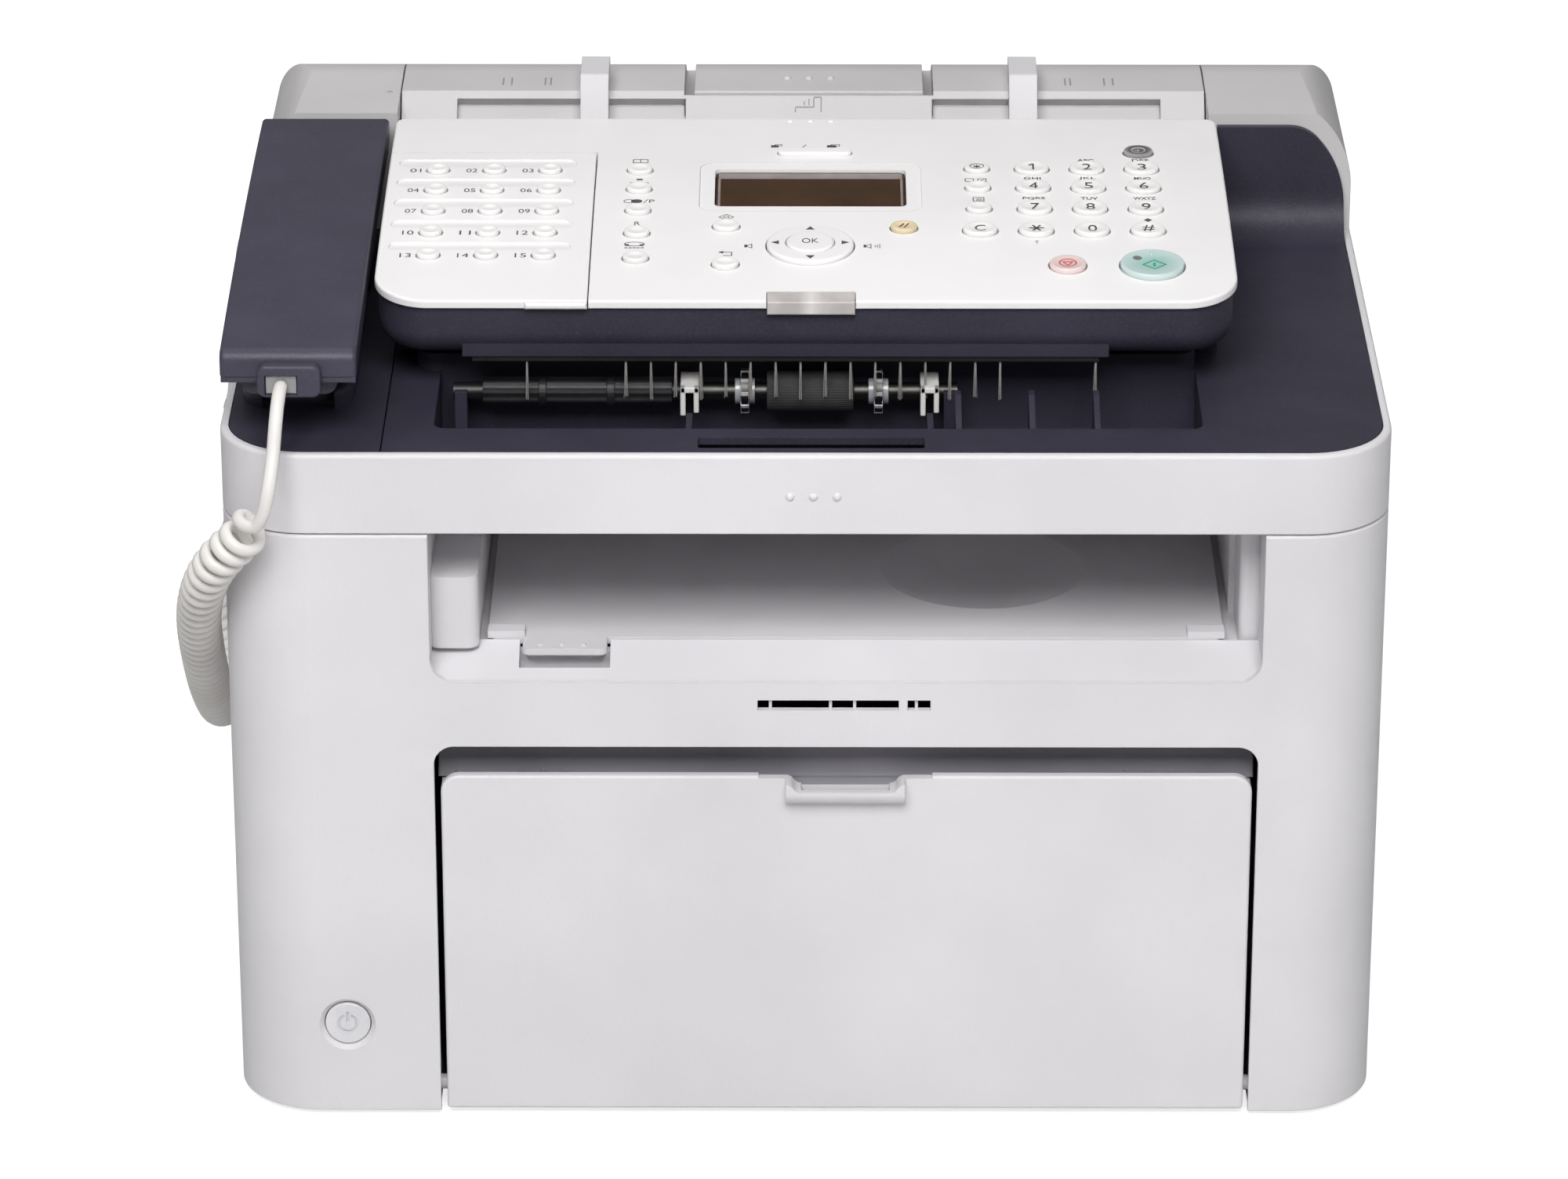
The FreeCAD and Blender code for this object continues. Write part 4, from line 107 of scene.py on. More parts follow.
# The lights: one big softbox high in front, a weaker one above on the left and a fill from the right,
# in a dim white room. Their size keeps the shadows soft.
ROOM_LIGHT = 0.17
scene.world = bpy.data.worlds.new("studio")
scene.world.use_nodes = True
tree = scene.world.node_tree
tree.nodes.clear()
room = add(tree, "ShaderNodeBackground", Color=WHITE, Strength=ROOM_LIGHT).outputs[0]
add(tree, "ShaderNodeOutputWorld", Surface=room)
for name, place, aim, width, height, watts in (
        ("softbox_key", (-0.1, -1.6, 1.8), (0, -0.1, 0.2), 1.4, 1.0, 45.0),
        ("softbox_top", (-0.5, 0.3, 1.7), (0, 0.05, 0.2), 1.2, 1.0, 5.0),
        ("softbox_right", (1.9, -0.8, 1.0), (0, 0, 0.15), 1.0, 1.4, 2.5)):
    data = bpy.data.lights.new(name, "AREA")
    data.shape = "RECTANGLE"
    data.size = width
    data.size_y = height
    data.energy = watts
    lamp = bpy.data.objects.new(name, data)
    lamp.location = place
    lamp.rotation_euler = (Vector(aim) - Vector(place)).to_track_quat("-Z", "Y").to_euler()
    scene.collection.objects.link(lamp)

# The camera: it looks down on the machine from straight ahead through a long lens. The focal length
# is given in pixels of the photograph, which is PHOTO_W wide.
PHOTO_W, FOCAL = 2000, 8521.5
SENSOR_W = 36.0
TILT_DOWN, PAN = 0.41164, 0.00294
lens = bpy.data.cameras.new("camera")
lens.sensor_fit = "HORIZONTAL"
lens.sensor_width = SENSOR_W
lens.lens = SENSOR_W * FOCAL / PHOTO_W
lens.clip_end = 50.0
camera = bpy.data.objects.new("camera", lens)
camera.location = (-0.00114, -2.08553, 1.03432)
camera.rotation_euler = (math.pi / 2 - TILT_DOWN, 0.0, PAN)
scene.collection.objects.link(camera)
scene.camera = camera

# The base pan, side plates, hinge brackets and motor plate: zinc-plated sheet steel, which shows a
# faint cloudy spangle. The pan stands on four moulded feet of matt rubber, which the feed rolls are
# made of too. The rubber's fine bloom is drawn at 1.1 mm so that it shows.
MM = 0.001
EDGE_R, GRAIN_H = 0.5, 0.4
TONE_MARKS, GLOSS_SWING = (0.35, 0.68), 0.06
GLINT_FROM, GLINT_FULL = 0.52, 0.74


def moulded(name, low, high, rough, drift_mm, grain_mm=0.0, relief=0.0, glint=None, **sockets):
    """A part-made surface: drifting colour, varying gloss and, if asked, the mould's grain with painted
    glints.
    """
    mat = bpy.data.materials.new(name)
    mat.use_nodes = True
    tree = mat.node_tree
    shader = tree.nodes["Principled BSDF"]
    place = add(tree, "ShaderNodeTexCoord").outputs["Object"]
    drift = add(tree, "ShaderNodeTexNoise", Vector=place, Scale=1 / (drift_mm * MM), Detail=3.0,
                Roughness=0.55)
    tones = add(tree, "ShaderNodeValToRGB", Fac=drift.outputs[0])
    for mark, position, code in zip(tones.color_ramp.elements, TONE_MARKS, (low, high)):
        mark.position = position
        mark.color = srgb(code)
    colour = tones.outputs[0]
    normal = add(tree, "ShaderNodeBevel", samples=2, Radius=EDGE_R * MM).outputs[0]
    if grain_mm:
        skin = add(tree, "ShaderNodeTexNoise", Vector=place, Scale=1 / (grain_mm * MM), Detail=2.0,
                   Roughness=0.5).outputs[0]
        normal = add(tree, "ShaderNodeBump", Height=skin, Strength=relief, Distance=GRAIN_H * MM,
                     Normal=normal).outputs[0]
        # Painted glints: the grain's peaks turn to a paler colour, which stands in for light caught by the
        # grain.
        if glint:
            peaks = add(tree, "ShaderNodeMapRange", Value=skin, From_Min=GLINT_FROM, From_Max=GLINT_FULL)
            colour = add(tree, "ShaderNodeMix", data_type="RGBA", _0=peaks.outputs[0], _6=colour,
                         _7=srgb(glint)).outputs[2]
    wear = add(tree, "ShaderNodeTexNoise", Vector=place, Scale=6 / (drift_mm * MM), Detail=4.0)
    gloss = add(tree, "ShaderNodeMapRange", Value=wear.outputs[0], To_Min=rough - GLOSS_SWING,
                To_Max=rough + GLOSS_SWING)
    tree.links.new(normal, shader.inputs["Normal"])
    tree.links.new(colour, shader.inputs["Base Color"])
    tree.links.new(gloss.outputs[0], shader.inputs["Roughness"])
    for key, value in sockets.items():
        shader.inputs[key.replace("_", " ")].default_value = value
    return mat


def paint(mat, *nodes):
    """Gives the frame's nodes their material."""
    for node in nodes:
        slots = bpy.data.objects[node].data.materials
        slots.clear()
        slots.append(mat)


zinc = moulded("zinc_plated_steel", "#9A9CA0", "#B4B6B8", 0.34, drift_mm=25, grain_mm=4.0, relief=0.1,
               Metallic=1.0)
paint(zinc, "base_frame", "hinge_brackets", "main_motor")
epdm = moulded("epdm_rubber", "#1B1C1C", "#2A2B2A", 0.82, drift_mm=16, grain_mm=1.1, relief=0.3)
paint(epdm, "rubber_feet", "pickup_roller", "feed_roller")

# The units inside: scanner, cartridge, fuser and sockets in black glass-filled plastic, whose fibres
# leave a dull skin, drawn at 1.2 mm so that it shows. The two circuit boards have a glossy green mask.
black_pbt = moulded("black_glass_filled_pbt", "#141416", "#1E1E21", 0.55, drift_mm=33, grain_mm=1.2,
                    relief=0.2)
paint(black_pbt, "laser_scanner", "toner_cartridge", "fuser_unit", "rear_sockets", "scan_sensor")
solder_mask = moulded("green_solder_mask", "#14452A", "#1D5A38", 0.30, drift_mm=8)
paint(solder_mask, "main_board", "power_supply")

# Front, side and rear covers, tray door and the printer cover's band: off-white ABS from an etched
# mould, which gives a soft sheen. Its grain is about 0.1 mm wide, and is drawn at 0.7 mm so that it
# shows in the render.
case_abs = moulded("off_white_abs", "#DCDADD", "#E6E4E7", 0.50, drift_mm=110, grain_mm=0.7, relief=0.16)
paint(case_abs, "front_cover", "left_cover", "right_cover", "rear_cover", "cover_band", "tray_door")


# Screws of the rear cover: zinc-plated pan heads with a cross slot, driven through the cover into the
# side plates' flanges.
def ride_on(bm, name, body, slot, *mats):
    """Turns a mesh drawn in millimetres into a piece that moves with one of the frame's bodies."""
    bmesh.ops.recalc_face_normals(bm, faces=bm.faces)
    bmesh.ops.scale(bm, verts=bm.verts, vec=(MM, MM, MM))
    mesh = bpy.data.meshes.new(name)
    bm.to_mesh(mesh)
    bm.free()
    for mat in mats:
        mesh.materials.append(mat)
    piece = bpy.data.objects.new(name, mesh)
    scene.collection.objects.link(piece)
    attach(piece, body)
    return piece


SCREW_SPOTS = ((-170.0, 24.0), (-170.0, 180.0), (170.0, 24.0), (170.0, 180.0), (0.0, 190.0))
SCREW_R, SCREW_H, SCREW_SINK, SCREW_ROUND = 3.4, 1.9, 0.2, 1.2
SLOT_LEN, SLOT_W, SLOT_T = 3.4, 0.7, 0.12
rear_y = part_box("rear_cover")[1][1] / MM - SCREW_SINK
bm = bmesh.new()
for x, z in SCREW_SPOTS:
    spot = Matrix.Translation((x, rear_y + SCREW_H / 2, z)) @ Matrix.Rotation(-math.pi / 2, 4, "X")
    head = bmesh.ops.create_cone(bm, cap_ends=True, segments=28, radius1=SCREW_R, radius2=SCREW_R,
                                 depth=SCREW_H, matrix=spot)["verts"]
    rim = [e for e in bm.edges if all(v in head and v.co.y > rear_y + SCREW_H / 2 for v in e.verts)]
    bmesh.ops.bevel(bm, geom=rim, offset=SCREW_ROUND, segments=4, profile=0.5, affect="EDGES", material=-1)
    for turn in (0.0, math.pi / 2):
        cross = (Matrix.Translation((x, rear_y + SCREW_H, z)) @ Matrix.Rotation(turn, 4, "Y")
                 @ Matrix.Diagonal((SLOT_LEN, SLOT_T, SLOT_W, 1)))
        groove = bmesh.ops.create_cube(bm, size=1.0, matrix=cross)
        for f in {f for v in groove["verts"] for f in v.link_faces}:
            f.material_index = 1
ride_on(bm, "rear_screws", "chassis", "steel", zinc, black_pbt)

# The paper outlet: liner walls and the toner cover that forms its floor, in the casing's plastic but
# from a finer mould, which leaves them duller. Their grain is drawn at 0.7 mm too. The lift tab carries
# three moulded dots.
FACE_Y = -147.5
DOT_R, DOT_RISE = 1.0, 0.5
liner_abs = moulded("satin_white_abs", "#D6D4D7", "#E0DEE1", 0.55, drift_mm=110, grain_mm=0.7, relief=0.12)
paint(liner_abs, "delivery_liner", "toner_cover")


def surface(node):
    """A function that gives the height of a node's upper surface at a place, in millimetres."""
    skin = BVHTree.FromObject(bpy.data.objects[node], bpy.context.evaluated_depsgraph_get())

    def height(x, y):
        return skin.ray_cast(Vector((x * MM, y * MM, 1)), Vector((0, 0, -1)))[0].z / MM
    return height


def dots(name, node, body, slot, mat, xs, depth, radius=DOT_R, rise=DOT_RISE):
    """Moulded dots: low domes in a row on a node's upper surface."""
    height = surface(node)
    y = FACE_Y + depth
    bm = bmesh.new()
    for x in xs:
        dome = Matrix.Translation((x, y, height(x, y))) @ Matrix.Diagonal((radius, radius, rise, 1))
        bmesh.ops.create_uvsphere(bm, u_segments=20, v_segments=12, radius=1.0, matrix=dome)
    for f in bm.faces:
        f.smooth = True
    ride_on(bm, name, body, slot, mat)


dots("toner_tab_dots", "toner_cover", "toner_cover", "case_white", liner_abs, (-85.0, -78.1, -71.2), 14.0)

# The smoked dust cover over the tray door: clear grey styrene, which is glossy and lets a little light
# through. Its leaning front hood closes the mouth over the door, with a rib, a grip and an apron.
HOOD_X0, HOOD_X1, HOOD_D0, HOOD_D1, HOOD_Z0, HOOD_Z1 = -118.3, 144.3, 10.5, 16.7, 117.6, 130.4
HOOD_LEAN, HOOD_CORNER, HOOD_EDGE = 3.6, 6.0, 0.6
HOOD_RIB = (-110.0, 133.0, 12.6, 15.0, 127.4, 127.9)
HOOD_GRIP = (-1.1, 28.0, 12.8, 15.0, 128.6, 130.6)
HOOD_APRON = (-112.0, 138.0, 10.9, 16.5, 113.6, 118.6)
HOOD_DOTS, HOOD_DOT_Z = (-91.6, -84.4, -77.3, 103.3, 110.4, 117.6), 119.6
smoked = moulded("smoked_styrene", "#96949C", "#A3A1A9", 0.30, drift_mm=50, Transmission_Weight=0.15,
                 IOR=1.57)
paint(smoked, "dust_cover")


def block(bm, x0, x1, d0, d1, z0, z1):
    """A box between two sides, two depths behind the front face and two heights."""
    spot = Matrix.Translation(((x0 + x1) / 2, FACE_Y + (d0 + d1) / 2, (z0 + z1) / 2))
    bmesh.ops.create_cube(bm, size=1.0, matrix=spot @ Matrix.Diagonal((x1 - x0, d1 - d0, z1 - z0, 1)))


bm = bmesh.new()
block(bm, HOOD_X0, HOOD_X1, HOOD_D0, HOOD_D1, HOOD_Z0, HOOD_Z1)
ends = [e for e in bm.edges
        if all(v.co.z > HOOD_Z1 - 1 for v in e.verts) and e.verts[0].co.x == e.verts[1].co.x]
bmesh.ops.bevel(bm, geom=ends, offset=HOOD_CORNER, segments=8, profile=0.5, affect="EDGES", material=-1)
front = [v for v in bm.verts if v.co.y < FACE_Y + HOOD_D0 + 0.1]
for v in front:
    v.co.y += HOOD_LEAN * (v.co.z - HOOD_Z0) / (HOOD_Z1 - HOOD_Z0)
face = [e for e in bm.edges if all(v in front for v in e.verts)]
bmesh.ops.bevel(bm, geom=face, offset=HOOD_EDGE, segments=2, profile=0.5, affect="EDGES", material=-1)
for limits in (HOOD_RIB, HOOD_GRIP, HOOD_APRON):
    block(bm, *limits)
for x in HOOD_DOTS:
    dome = Matrix.Translation((x, FACE_Y + HOOD_D0 + 0.6, HOOD_DOT_Z)) @ Matrix.Diagonal((0.9, 0.5, 0.9, 1))
    bmesh.ops.create_uvsphere(bm, u_segments=16, v_segments=10, radius=1.0, matrix=dome)
ride_on(bm, "dust_cover_hood", "dust_cover", "smoked", smoked)

# The tray's paper guides: natural acetal, which slides dry and looks milky. The power button is a
# smooth ABS cap, pressed in from inside the front cover, with a slight shine.
acetal = moulded("natural_acetal", "#E6E5E3", "#EFEEEC", 0.38, drift_mm=25)
paint(acetal, "paper_guide_left", "paper_guide_right")
button_abs = moulded("smooth_white_abs", "#D9D8DC", "#E4E3E6", 0.38, drift_mm=16)
paint(button_abs, "power_button")

# Top deck, cradle, panel tub and handset: navy ABS with a coarse etched grain, 0.3 mm in the real one
# and drawn at 0.5 mm, whose peaks are painted pale as painted glints. The handset's copy is smoother, and
# painted paler as painted light on it.
navy_abs = moulded("navy_abs", "#32303D", "#3A3846", 0.46, drift_mm=38, grain_mm=0.5, relief=0.25,
                   glint="#423F4E", Specular_IOR_Level=0.3)
paint(navy_abs, "top_deck", "handset_cradle", "panel_tub", "hook_switch")
# The handset's navy is a paler copy of the deck's: painted light, for the light that falls on the handset.
handset_lit_navy_abs = moulded("navy_abs_painted_lighter", "#3F3D4B", "#464453", 0.42, drift_mm=38, grain_mm=0.5, relief=0.2,
                   glint="#4E4C5B", Specular_IOR_Level=0.35)
paint(handset_lit_navy_abs, "handset_back", "handset_face")

# The eject and delivery rollers: shafts of black nylon or ground steel with rubber rolls on them. Steel
# gives a dark shine, nylon a dull one and rubber none. Handling scratches are drawn at 1.4 mm to show.
SHAFT_X0, SHAFT_X1 = -200.0, 200.0
SCRATCH_MM, SCRATCH_SHARE = 1.4, 0.25
NYLON = ("#17171A", 0.0, 0.42)
GROUND_STEEL = ("#4C4B49", 1.0, 0.42)
RUBBER = ("#2B2B2C", 0.0, 0.80)
NYLON_END, ROLL_X0, ROLL_X1 = -36.0, -12.6, 15.4
DELIVERY_ROLLS, DELIVERY_HALF = (-77.0, -17.0, 43.0, 103.0), 10.1


def banded(name, stops):
    """One roller's lengths of different stuff along X: (start in mm, colour, metallic, roughness)."""
    mat = bpy.data.materials.new(name)
    mat.use_nodes = True
    tree = mat.node_tree
    shader = tree.nodes["Principled BSDF"]
    place = add(tree, "ShaderNodeTexCoord").outputs["Object"]
    side = add(tree, "ShaderNodeSeparateXYZ", Vector=place).outputs["X"]
    reach = add(tree, "ShaderNodeMapRange", Value=side, From_Min=SHAFT_X0 * MM, From_Max=SHAFT_X1 * MM)
    scratch = add(tree, "ShaderNodeTexNoise", Vector=place, Scale=1 / (SCRATCH_MM * MM),
                  Detail=3.0).outputs[0]
    starts, codes, metals, roughs = zip(*stops)
    for key, shades in (("Base Color", [srgb(code) for code in codes]),
                        ("Metallic", [(value, value, value, 1) for value in metals]),
                        ("Roughness", [(value, value, value, 1) for value in roughs])):
        ramp = add(tree, "ShaderNodeValToRGB", Fac=reach.outputs[0])
        ramp.color_ramp.interpolation = "CONSTANT"
        marks = ramp.color_ramp.elements
        marks.remove(marks[1])
        marks[0].color = shades[0]
        for start, shade in zip(starts[1:], shades[1:]):
            marks.new((start - SHAFT_X0) / (SHAFT_X1 - SHAFT_X0)).color = shade
        given = ramp.outputs[0]
        if key == "Base Color":
            given = add(tree, "ShaderNodeMix", data_type="RGBA", blend_type="OVERLAY", _0=SCRATCH_SHARE,
                        _6=given, _7=scratch).outputs[2]
        tree.links.new(given, shader.inputs[key])
    bump = add(tree, "ShaderNodeBump", Height=scratch, Strength=0.15, Distance=0.2 * MM)
    tree.links.new(bump.outputs[0], shader.inputs["Normal"])
    return mat


paint(banded("eject_roller_stuffs", [(SHAFT_X0, *NYLON), (NYLON_END, *GROUND_STEEL), (ROLL_X0, *RUBBER),
                                     (ROLL_X1, *GROUND_STEEL)]), "eject_roller")
bands = [(SHAFT_X0, *GROUND_STEEL)]
for x in DELIVERY_ROLLS:
    bands += [(x - DELIVERY_HALF, *RUBBER), (x + DELIVERY_HALF, *GROUND_STEEL)]
paint(banded("delivery_roller_stuffs", bands), "delivery_roller")

# On the eject roller: two clear toothed rings that lift the sheet, a ribbed black sleeve in three
# lengths with collars between them, and a knurled rubber roll. Rings are moulded polycarbonate, the
# sleeve is nylon. The skin of nylon and rubber is drawn at about 1 mm so that it shows.
EJECT_Y, EJECT_Z = FACE_Y + 62.0, 231.0
RING_SPOTS, RING_T, RING_R, RING_SIDES = (-19.6, 23.4), 2.7, 7.35, 40
HUB_T, HUB_R = 6.4, 4.2
SLEEVES, SLEEVE_R, SLEEVE_SIDES = ((-104.0, -85.5), (-84.0, -63.5), (-62.0, -43.0)), 4.6, 32
COLLAR_SPOTS, COLLAR_T, COLLAR_R = (-84.8, -62.8), 2.4, 4.9
ROLL_R, ROLL_INSET, ROLL_SIDES = 6.62, 0.15, 96
TOOTH_SHARE, RIB_SHARE, KNURL_SHARE = 0.17, 0.1, 0.022
ROUND_SIDES = 24


def along_x(bm, x0, x1, sides, radius):
    """A rod about the eject roller's axis."""
    spot = Matrix.Translation(((x0 + x1) / 2, EJECT_Y, EJECT_Z)) @ Matrix.Rotation(math.pi / 2, 4, "Y")
    return bmesh.ops.create_cone(bm, cap_ends=True, segments=sides, radius1=radius, radius2=radius,
                                 depth=x1 - x0, matrix=spot)["verts"]


def pulled_in(verts, sides, step, share):
    """Draws half of every few corners of a rod towards its axis, which leaves teeth or ribs."""
    for v in verts:
        out = Vector((0, v.co.y - EJECT_Y, v.co.z - EJECT_Z))
        if round(math.atan2(out.z, out.y) / (2 * math.pi) * sides) % step < step // 2:
            v.co -= out * share


clear_pc = moulded("clear_polycarbonate", "#C9CCD2", "#DDE0E4", 0.14, drift_mm=10, Transmission_Weight=0.45,
                   IOR=1.58)
bm = bmesh.new()
for x in RING_SPOTS:
    pulled_in(along_x(bm, x - RING_T / 2, x + RING_T / 2, RING_SIDES, RING_R), RING_SIDES, 4, TOOTH_SHARE)
    along_x(bm, x - HUB_T / 2, x + HUB_T / 2, ROUND_SIDES, HUB_R)
ride_on(bm, "star_rings", "eject_roller", "lens_clear", clear_pc)
nylon = moulded("black_nylon", "#161619", "#222225", 0.5, drift_mm=12, grain_mm=1.0, relief=0.1)
bm = bmesh.new()
for x0, x1 in SLEEVES:
    pulled_in(along_x(bm, x0, x1, SLEEVE_SIDES, SLEEVE_R), SLEEVE_SIDES, 4, RIB_SHARE)
for x in COLLAR_SPOTS:
    along_x(bm, x - COLLAR_T / 2, x + COLLAR_T / 2, ROUND_SIDES, COLLAR_R)
ride_on(bm, "ribbed_sleeve", "eject_roller", "black_plastic", nylon)
roll_rubber = moulded("knurled_rubber", "#2D2D2E", "#3A3A3B", 0.78, drift_mm=9, grain_mm=0.9, relief=0.25)
bm = bmesh.new()
knurled = along_x(bm, ROLL_X0 + ROLL_INSET, ROLL_X1 - ROLL_INSET, ROLL_SIDES, ROLL_R)
pulled_in(knurled, ROLL_SIDES, 2, KNURL_SHARE)
ride_on(bm, "knurled_roll", "eject_roller", "rubber_dark", roll_rubber)

# Roller clips: two forked clips of natural acetal that snap over the eject roller's shaft, each with a
# head over it and two legs in front, of which the right one is shorter.
CLIP_SPOTS, CLIP_HALF, CLIP_ROUND = (-37.3, 39.8), 3.0, 0.35
HEAD_D0, HEAD_D1, HEAD_Z0, HEAD_Z1 = 51.5, 66.0, 234.3, 236.2
LEG_T, LEG_D1, LEG_Z0, LEG_SHORTER = 1.7, 54.0, 226.5, 1.0
bm = bmesh.new()
for x in CLIP_SPOTS:
    x0, x1 = x - CLIP_HALF, x + CLIP_HALF
    block(bm, x0, x1, HEAD_D0, HEAD_D1, HEAD_Z0, HEAD_Z1)
    block(bm, x0, x0 + LEG_T, HEAD_D0, LEG_D1, LEG_Z0, HEAD_Z1)
    block(bm, x1 - LEG_T, x1, HEAD_D0, LEG_D1, LEG_Z0 + LEG_SHORTER, HEAD_Z1)
bmesh.ops.bevel(bm, geom=bm.edges[:], offset=CLIP_ROUND, segments=2, profile=0.5, affect="EDGES",
                material=-1)
clips = ride_on(bm, "forked_clips", "printer_cover", "clip_white", acetal)
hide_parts("roller_clips")

# The antistatic brush: bundles of hair-fine stainless fibre, bright where they catch the light, clamped
# in a black strip under the panel's front edge. Each bundle spreads at its lower end.
STRIP_X0, STRIP_X1, STRIP_D0, STRIP_D1, STRIP_H, STRIP_ROUND = -107.0, 94.0, 52.6, 56.0, 2.0, 0.3
BRUSH_Y, BRUSH_TOP = FACE_Y + 53.6, 246.8
TUFT_SPOTS, TUFT_LEN, TUFT_RAGGED = [-89.4] + [-57.7 + 8.0 * k for k in range(16)] + [92.9], 14.5, 1.2
HAIRS, HAIR_GAP, HAIR_R0, HAIR_R1 = 5, 0.1, 0.09, 0.13
SPREAD, SPREAD_SWING, SWAY = 0.022, 0.014, 0.03
fibre_steel = moulded("stainless_fibre", "#D9D4D0", "#EEEAE6", 0.35, drift_mm=2, Metallic=0.3)
bm = bmesh.new()
block(bm, STRIP_X0, STRIP_X1, STRIP_D0, STRIP_D1, BRUSH_TOP - STRIP_H, BRUSH_TOP)
bmesh.ops.bevel(bm, geom=bm.edges[:], offset=STRIP_ROUND, segments=2, profile=0.5, affect="EDGES",
                material=-1)
for i, x in enumerate(TUFT_SPOTS):
    for j in range(HAIRS):
        off = j - HAIRS // 2
        lean = off / 2 * (SPREAD + SPREAD_SWING * math.sin(2.3 * i + 1.1 * j))
        tip = SWAY * math.cos(1.7 * i + 2.9 * j)
        run = TUFT_LEN - TUFT_RAGGED * (0.5 + 0.5 * math.sin(3.1 * i + 5.7 * j))
        root = (x + off * HAIR_GAP, BRUSH_Y + 0.15 * math.cos(2.0 * j), BRUSH_TOP - STRIP_H / 2)
        hang = (Matrix.Translation(root) @ Matrix.Rotation(-lean, 4, "Y") @ Matrix.Rotation(tip, 4, "X")
                @ Matrix.Translation((0, 0, -run / 2)))
        hair = bmesh.ops.create_cone(bm, cap_ends=True, segments=5, radius1=HAIR_R0, radius2=HAIR_R1,
                                     depth=run, matrix=hang)
        for f in {f for v in hair["verts"] for f in v.link_faces}:
            f.material_index = 1
brush = ride_on(bm, "fibre_brush", "operation_panel", "black_plastic", black_pbt, fibre_steel)
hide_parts("antistatic_brush")

# Rear caps and the document tray: warm light grey ABS with the casing's soft sheen, and a pull-up middle
# piece of the same shot. The etched grain is drawn at 0.75 mm to show. The two guides on it are whiter.
cap_abs = moulded("warm_grey_abs", "#C9C7C7", "#D4D2D2", 0.48, drift_mm=100, grain_mm=0.75, relief=0.2)
paint(cap_abs, "left_rear_cap", "right_rear_cap", "document_tray", "document_tray_extension")
paint(liner_abs, "document_guide_left", "document_guide_right")

# The handset's cord: flat white PVC with a soft shine, plain where it leaves the plug, wound into a tight
# coil that goes round the front corner, hangs along the left side and climbs to its jack near the back.
# It swings out to the coil's rim over a length JOIN, and the end turns open out over a length EASE.
route = [(-0.1645, -0.1415, 0.2554), (-0.165, -0.1515, 0.2549), (-0.167, -0.1614, 0.229),
         (-0.1695, -0.1585, 0.2175), (-0.194, -0.1465, 0.19), (-0.198, -0.0725, 0.122),
         (-0.197, -0.0125, 0.08), (-0.1955, 0.0525, 0.115), (-0.1955, 0.0745, 0.165),
         (-0.1955, 0.0785, 0.175), (-0.197, 0.0885, 0.221), (-0.1915, 0.0885, 0.221)]
COIL_FIRST, COIL_LAST, HANDSET_UNTIL = 3, 8, 5
CORD_W, CORD_T, CORD_SIDES = 4.4 * MM, 3.8 * MM, 10
COIL_R, COIL_PITCH, COIL_STEPS = 5.4 * MM, 5.4 * MM, 24
EASE, JOIN, PLAIN_STEP = 14 * MM, 26 * MM, 1.5 * MM
curve = bpy.data.curves.new("cord_route", "CURVE")
curve.dimensions = "3D"
spline = curve.splines.new("NURBS")
spline.points.add(len(route) - 1)
for point, spot in zip(spline.points, route):
    point.co = (*spot, 1.0)
spline.order_u = 3
spline.use_endpoint_u = True
spline.resolution_u = 40
guide = bpy.data.objects.new("cord_route", curve)
scene.collection.objects.link(guide)
line = bpy.data.meshes.new_from_object(guide)
centre = [v.co.copy() for v in line.vertices]
bpy.data.objects.remove(guide)
runs = [0.0]
for a, b in zip(centre, centre[1:]):
    runs.append(runs[-1] + (b - a).length)


def run_near(spot):
    """The length along the route where it passes a point."""
    return runs[min(range(len(centre)), key=lambda i: (centre[i] - Vector(spot)).length)]


coil_from = run_near(route[COIL_FIRST])
coil_to = run_near(route[COIL_LAST])
stations = []
s = 0.0
while s < runs[-1] - PLAIN_STEP / 2:
    stations.append(s)
    s += COIL_PITCH / COIL_STEPS if coil_from <= s <= coil_to else PLAIN_STEP
stations.append(runs[-1])
path = []
sides = []
normal = Vector((0, 0, 1))
k = 0
for s in stations:
    while k < len(runs) - 2 and runs[k + 1] < s:
        k += 1
    along = (centre[k + 1] - centre[k]).normalized()
    spot = centre[k].lerp(centre[k + 1], (s - runs[k]) / (runs[k + 1] - runs[k]))
    normal = (normal - along * normal.dot(along)).normalized()
    wound = min(max(s, coil_from), coil_to) - coil_from
    left = coil_to - coil_from - wound
    turned = wound - EASE / 2 + (max(EASE - wound, 0) ** 2 - max(EASE - left, 0) ** 2) / (2 * EASE)
    out = (Matrix.Rotation(turned / COIL_PITCH * 2 * math.pi, 3, along) @ normal).normalized()
    near = 1 - min(max(coil_from - s, s - coil_to, 0) / JOIN, 1)
    path.append(spot + out * COIL_R * near * near * (3 - 2 * near))
    sides.append(out)
bm = bmesh.new()
rings = []
for i, (spot, out) in enumerate(zip(path, sides)):
    along = (path[min(i + 1, len(path) - 1)] - path[max(i - 1, 0)]).normalized()
    out = (out - along * out.dot(along)).normalized()
    wide = along.cross(out)
    rings.append([bm.verts.new(spot + out * math.cos(a) * CORD_T / 2 + wide * math.sin(a) * CORD_W / 2)
                  for a in [j * 2 * math.pi / CORD_SIDES for j in range(CORD_SIDES)]])
for low, high in zip(rings, rings[1:]):
    for j in range(CORD_SIDES):
        after = (j + 1) % CORD_SIDES
        bm.faces.new((low[j], low[after], high[after], high[j])).smooth = True
bm.faces.new(rings[0])
bm.faces.new(rings[-1])
bmesh.ops.recalc_face_normals(bm, faces=bm.faces)
mesh = bpy.data.meshes.new("curly_cord")
bm.to_mesh(mesh)
bm.free()
cord_pvc = moulded("soft_white_pvc", "#E2DFDB", "#EEEBE8", 0.42, drift_mm=33)
